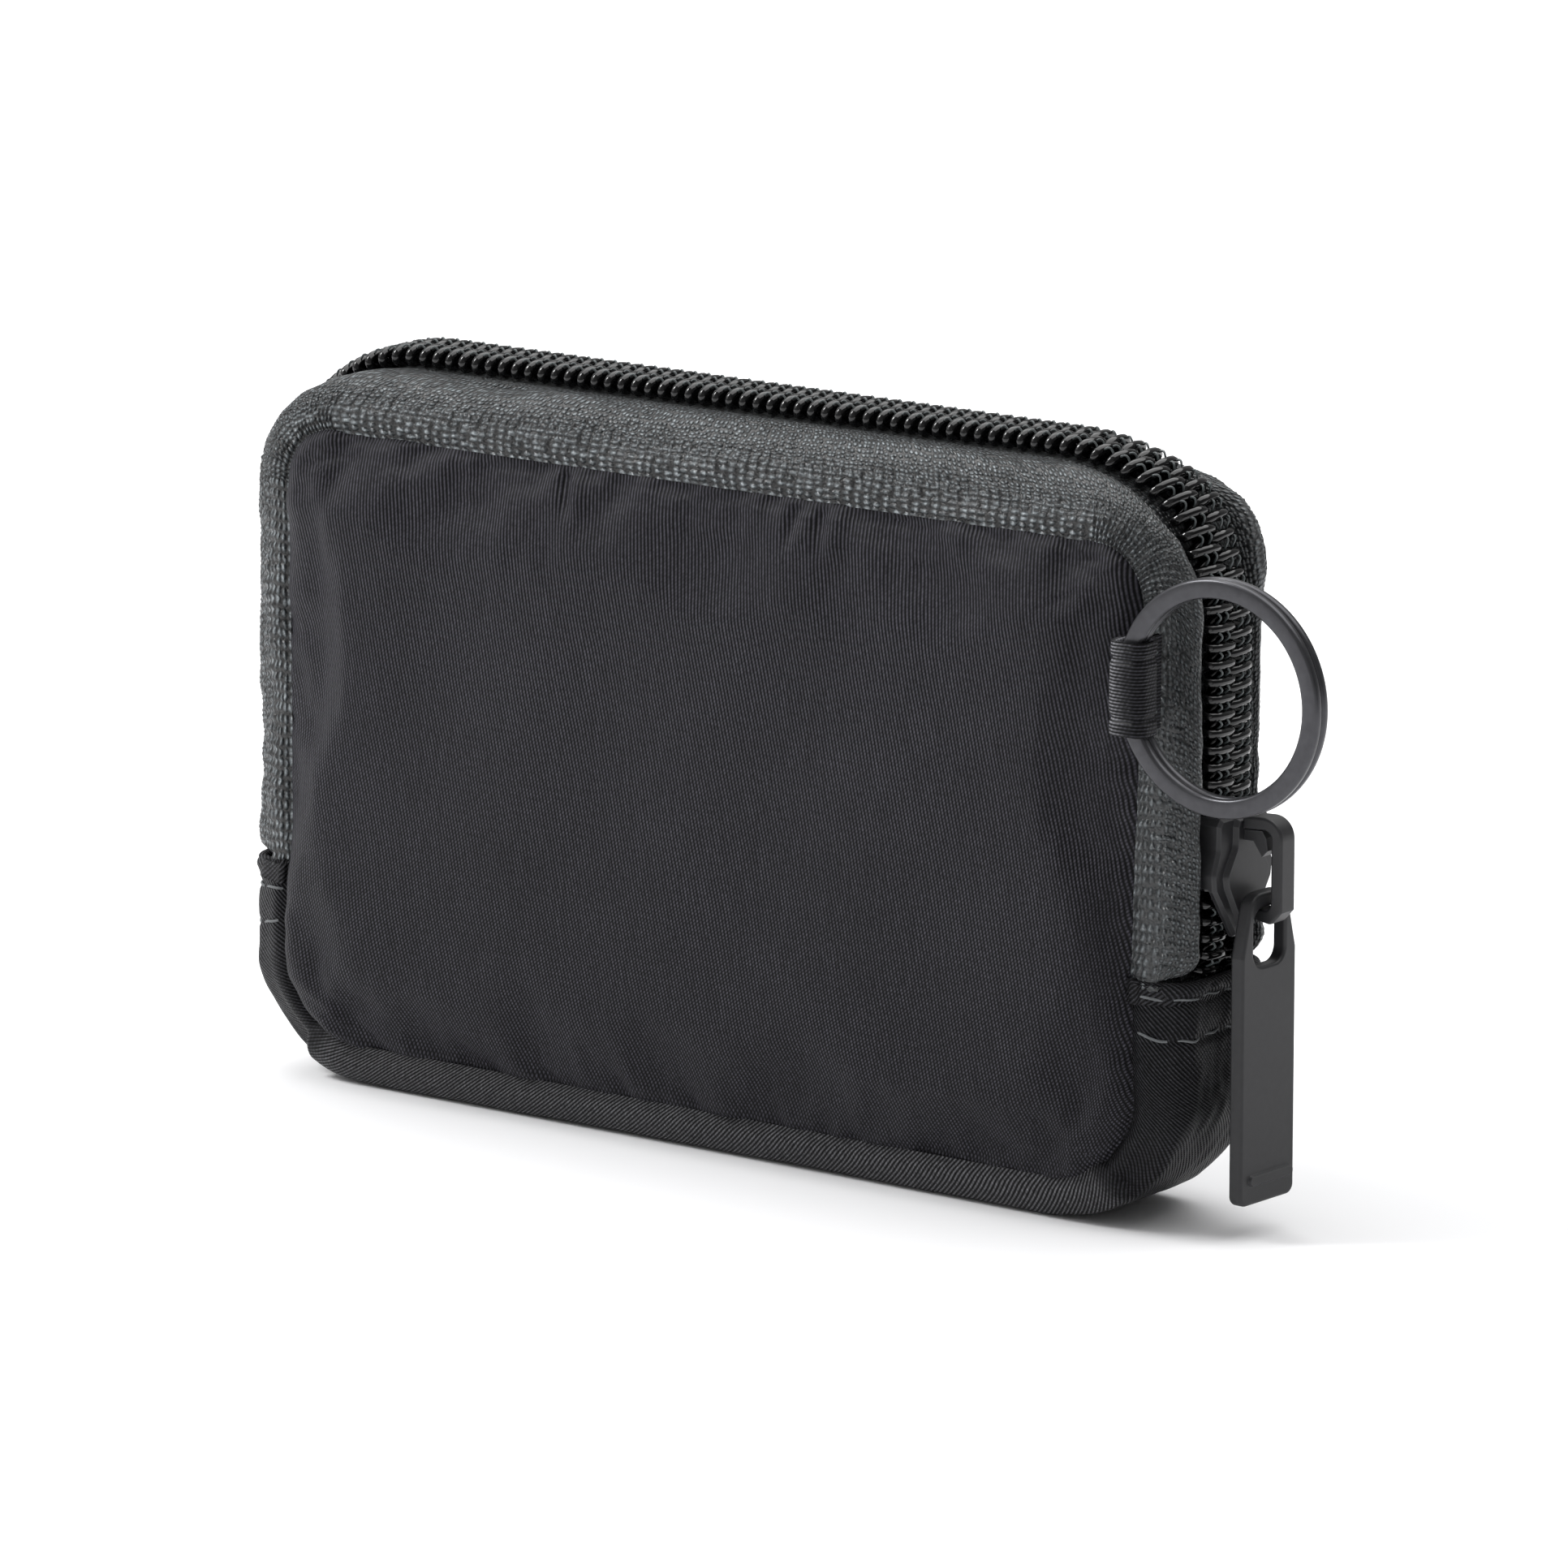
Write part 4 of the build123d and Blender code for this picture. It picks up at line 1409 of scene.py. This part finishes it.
# %% Build linings and bindings
binding_section = [
    (0.45, 6.3), (0.9, 6.62), (2.6, 6.66), (4.4, 6.6), (5.1, 6.35),
    (5.1, 5.8), (4.4, 5.45), (2.6, 5.38), (0.9, 5.42), (0.45, 5.8),
]
keep = 0.985
panel_middle = 32.4
lining_depth = 6.72
lining_thickness = 0.14
for half_name, sign in (("front", -1), ("back", 1)):
    coarse_x, coarse_z = panel_sheet(60, 96)
    lining_x = coarse_x * keep
    lining_z = panel_middle + (coarse_z - panel_middle) * keep
    wave = 0.05 * ripple(coarse_x, coarse_z, 18.0, 51)
    against_foam = np.stack([lining_x, sign * (lining_depth + 0 * wave), lining_z], axis=-1)
    showing = against_foam - np.array([0, sign, 0]) * (lining_thickness + wave)[..., None]
    points, faces = closed_sheet(against_foam, showing, sign < 0)
    lining = piece(
        half_name + "_lining_sheet",
        points,
        faces,
        lining_weave,
        half_name + "_half",
        weave_of(coarse_z, coarse_x),
    )
    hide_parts(half_name + "_lining")
    rings = []
    for inset_value, depth_value in binding_section:
        ring_line, ring_along = rounded_loop(inset_value, 24)
        pucker = 0.06 * np.sin(ring_along * 2 * np.pi / (ring_along[-1] / 150))
        rings.append(
            np.column_stack([ring_line[:, 0], sign * (depth_value + pucker), ring_line[:, 1]])
        )
    rings = np.array(rings)[:, :-1]
    count, around = rings.shape[:2]
    index = np.arange(count * around).reshape(count, around)
    index = np.vstack([index, index[:1]])
    index = np.hstack([index, index[:, :1]])
    binding = piece(
        half_name + "_binding_tape",
        rings.reshape(-1, 3),
        quads(index, sign > 0),
        binding_weave,
        half_name + "_half",
    )
    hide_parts(half_name + "_seam_binding")

# %% [markdown]
# ## The split ring
#
# A split ring is one flat wire wound almost twice round, with the step
# between its turns next to the ends.  The wire's corners are rounded, and
# they catch the light as thin bright lines; its finish also paints them
# paler, as painted highlight.  A section carried round a little under two
# turns, and shifted sideways at the step, is the same as how the real one is
# wound.

# %% Split ring
ring_low, ring_high = box_mm("key_ring")
ring_middle = (ring_low + ring_high) / 2
ring_radius = (ring_high[0] - ring_low[0]) / 2
band, layer, corner = 1.7, 0.9, 0.32
section_ring = []
for cx, cy, start in ((1, 1, 0), (-1, 1, 90), (-1, -1, 180), (1, -1, 270)):
    for swing in np.radians(np.linspace(start, start + 90, 4)):
        section_ring.append(
            (
                cx * (band / 2 - corner) + corner * np.cos(swing),
                cy * (layer / 2 - corner) + corner * np.sin(swing),
            )
        )
section_ring = np.array(section_ring)
split_at = 176.0
turns_apart = 0.95
sweep = np.radians(np.linspace(split_at + 6, split_at + 714, 560))
turned = np.degrees(sweep) - split_at
cross = smooth_step(turned, 318, 366)
ring_y = ring_middle[1] + (0.5 - cross) * turns_apart
rings = []
for angle, y_value in zip(sweep, ring_y):
    reach = ring_radius - band / 2 + section_ring[:, 0]
    rings.append(
        np.column_stack(
            [
                ring_middle[0] + reach * np.cos(angle),
                y_value + section_ring[:, 1],
                ring_middle[2] + reach * np.sin(angle),
            ]
        )
    )
rings = np.array(rings)
count, around = rings.shape[:2]
index = np.arange(count * around).reshape(count, around)
wrapped = np.hstack([index, index[:, :1]])
ring_faces = quads(wrapped, False).tolist() + [index[0].tolist(), index[-1, ::-1].tolist()]
ring_mesh = bpy.data.meshes.new("split_ring_wire")
ring_mesh.from_pydata((rings.reshape(-1, 3) * MM).tolist(), [], ring_faces)
ring_piece = place_mesh("split_ring_wire", ring_mesh, ring_coat, "split_ring")
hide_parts("key_ring")
print("ring radius", round(float(ring_radius), 2), "split at", split_at, "degrees")

# %% [markdown]
# ## The key tab
#
# A short piece of nylon tape is folded round the ring and sewn into the
# front seam.  Its ribs run round the bend, painted pale there as painted
# highlight, with a line of stitching pressed in near its top and bottom edges.
# It is one profile of two legs and a round bend, carried up the tab's height.

# %% Key tab
tab_low, tab_high = box_mm("key_tab")
hinge = np.array(joints["tab_swing"]["pos_m"]) / MM
bend_y = ring_middle[1]
leg_half = 0.95
sleeve_half = 1.78
bend_round = 1.1
front_y = bend_y - 1.62
root_y = hinge[1] + 0.25
tab_z = np.linspace(tab_low[2], tab_high[2], 150)
half_profile = [(leg_half, root_y), (leg_half, root_y - 0.9)]
for share in np.linspace(0, 1, 8):
    half_profile.append(
        (
            leg_half + (sleeve_half - leg_half) * smooth_step(share, 0, 1),
            root_y - 0.9 - (root_y - 0.9 - bend_y - 0.6) * share,
        )
    )
for swing in np.radians(np.linspace(0, 90, 12)):
    half_profile.append(
        (
            sleeve_half - bend_round + bend_round * np.cos(swing),
            front_y + bend_round - bend_round * np.sin(swing),
        )
    )
profile = half_profile + [(-width, y_value) for width, y_value in reversed(half_profile)]
profile = np.array(profile)
profile = through(profile, 110)[0]
steps = np.linalg.norm(np.diff(profile, axis=0), axis=1)
tab_along = np.concatenate([[0], np.cumsum(steps)])
rise = tab_z - ring_middle[2]
limb_shift = (ring_radius - band / 2) - np.sqrt((ring_radius - band / 2) ** 2 - rise**2)
limb_left = ring_middle[0] - ring_radius + band / 2
on_ring = smooth_step(hinge[1] - profile[:, 1], 0.6, 2.4)
# %% [markdown]
# The ring pulls the tab to one side, so each row of the profile leans a
# little with it.  Ribs and stitch lines are pressed into the grid last.

# %% Lean, ribs and build the tab
lean = 0.12 * limb_shift[None, :] + 0.42
tab_x = limb_left + profile[:, :1] + on_ring[:, None] * lean
tab_y = np.broadcast_to(profile[:, 1:], tab_x.shape)
tab_zz = np.broadcast_to(tab_z, tab_x.shape)
edge = np.minimum(tab_z - tab_z[0], tab_z[-1] - tab_z)
row_dent = dent(edge - 1.5, 0.3)[None, :] * on_ring[:, None]
grid = np.stack([tab_x, tab_y, tab_zz], axis=-1)
normal, _ = outward(grid)
tab_rib = 0.3
ribs = 0.5 + 0.5 * np.cos(2 * np.pi * tab_zz / tab_rib)
grid = grid + normal * (0.05 * ribs - 0.22 * row_dent)[..., None]
along_tab = np.broadcast_to(tab_z, tab_x.shape)
across_tab = np.broadcast_to(tab_along[:, None], tab_x.shape)
points, faces = shell(grid, 0.42)
weave = weave_of(across_tab, along_tab)
tab = piece("key_tab_cloth", points, faces, tab_twill, None, weave)
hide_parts("key_tab")
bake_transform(tab)
# %% [markdown]
# Four short threads, one at each corner of the tab, hold it to the seam.

# %% Tab stitches
stitch = []
t = np.linspace(0, 1, 7)
arch = 0.12 * np.sin(np.pi * t)
stitch_y = hinge[1] - 0.5 - 1.0 * t
tab_middle, tab_half = (tab_z[0] + tab_z[-1]) / 2, (tab_z[-1] - tab_z[0]) / 2
for face in (-1, 1):
    for end in (-1, 1):
        z_value = tab_middle + end * (tab_half - 1.5)
        stitch_x = limb_left + face * (leg_half + 0.02 + arch)
        stitch.append(np.column_stack([stitch_x, stitch_y, z_value + 0 * t]))
tab_thread = wires("key_tab_thread", stitch, 0.14, coil_thread, "key_loop")
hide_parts("key_tab_stitches")

# %% [markdown]
# ## Slider, crown and pull
#
# These castings keep their CAD shapes.  They only need paint, with edges
# rubbed a little paler where fingers and keys touch them.

# %% Paint the castings
for node in ("slider_body", "slider_crown", "slider_lock_spring", "pull_tab"):
    casting = frame["nodes"][node]
    for material_slot in casting.material_slots:
        material_slot.material = zinc_paint
print("painted the slider, crown, spring and pull")
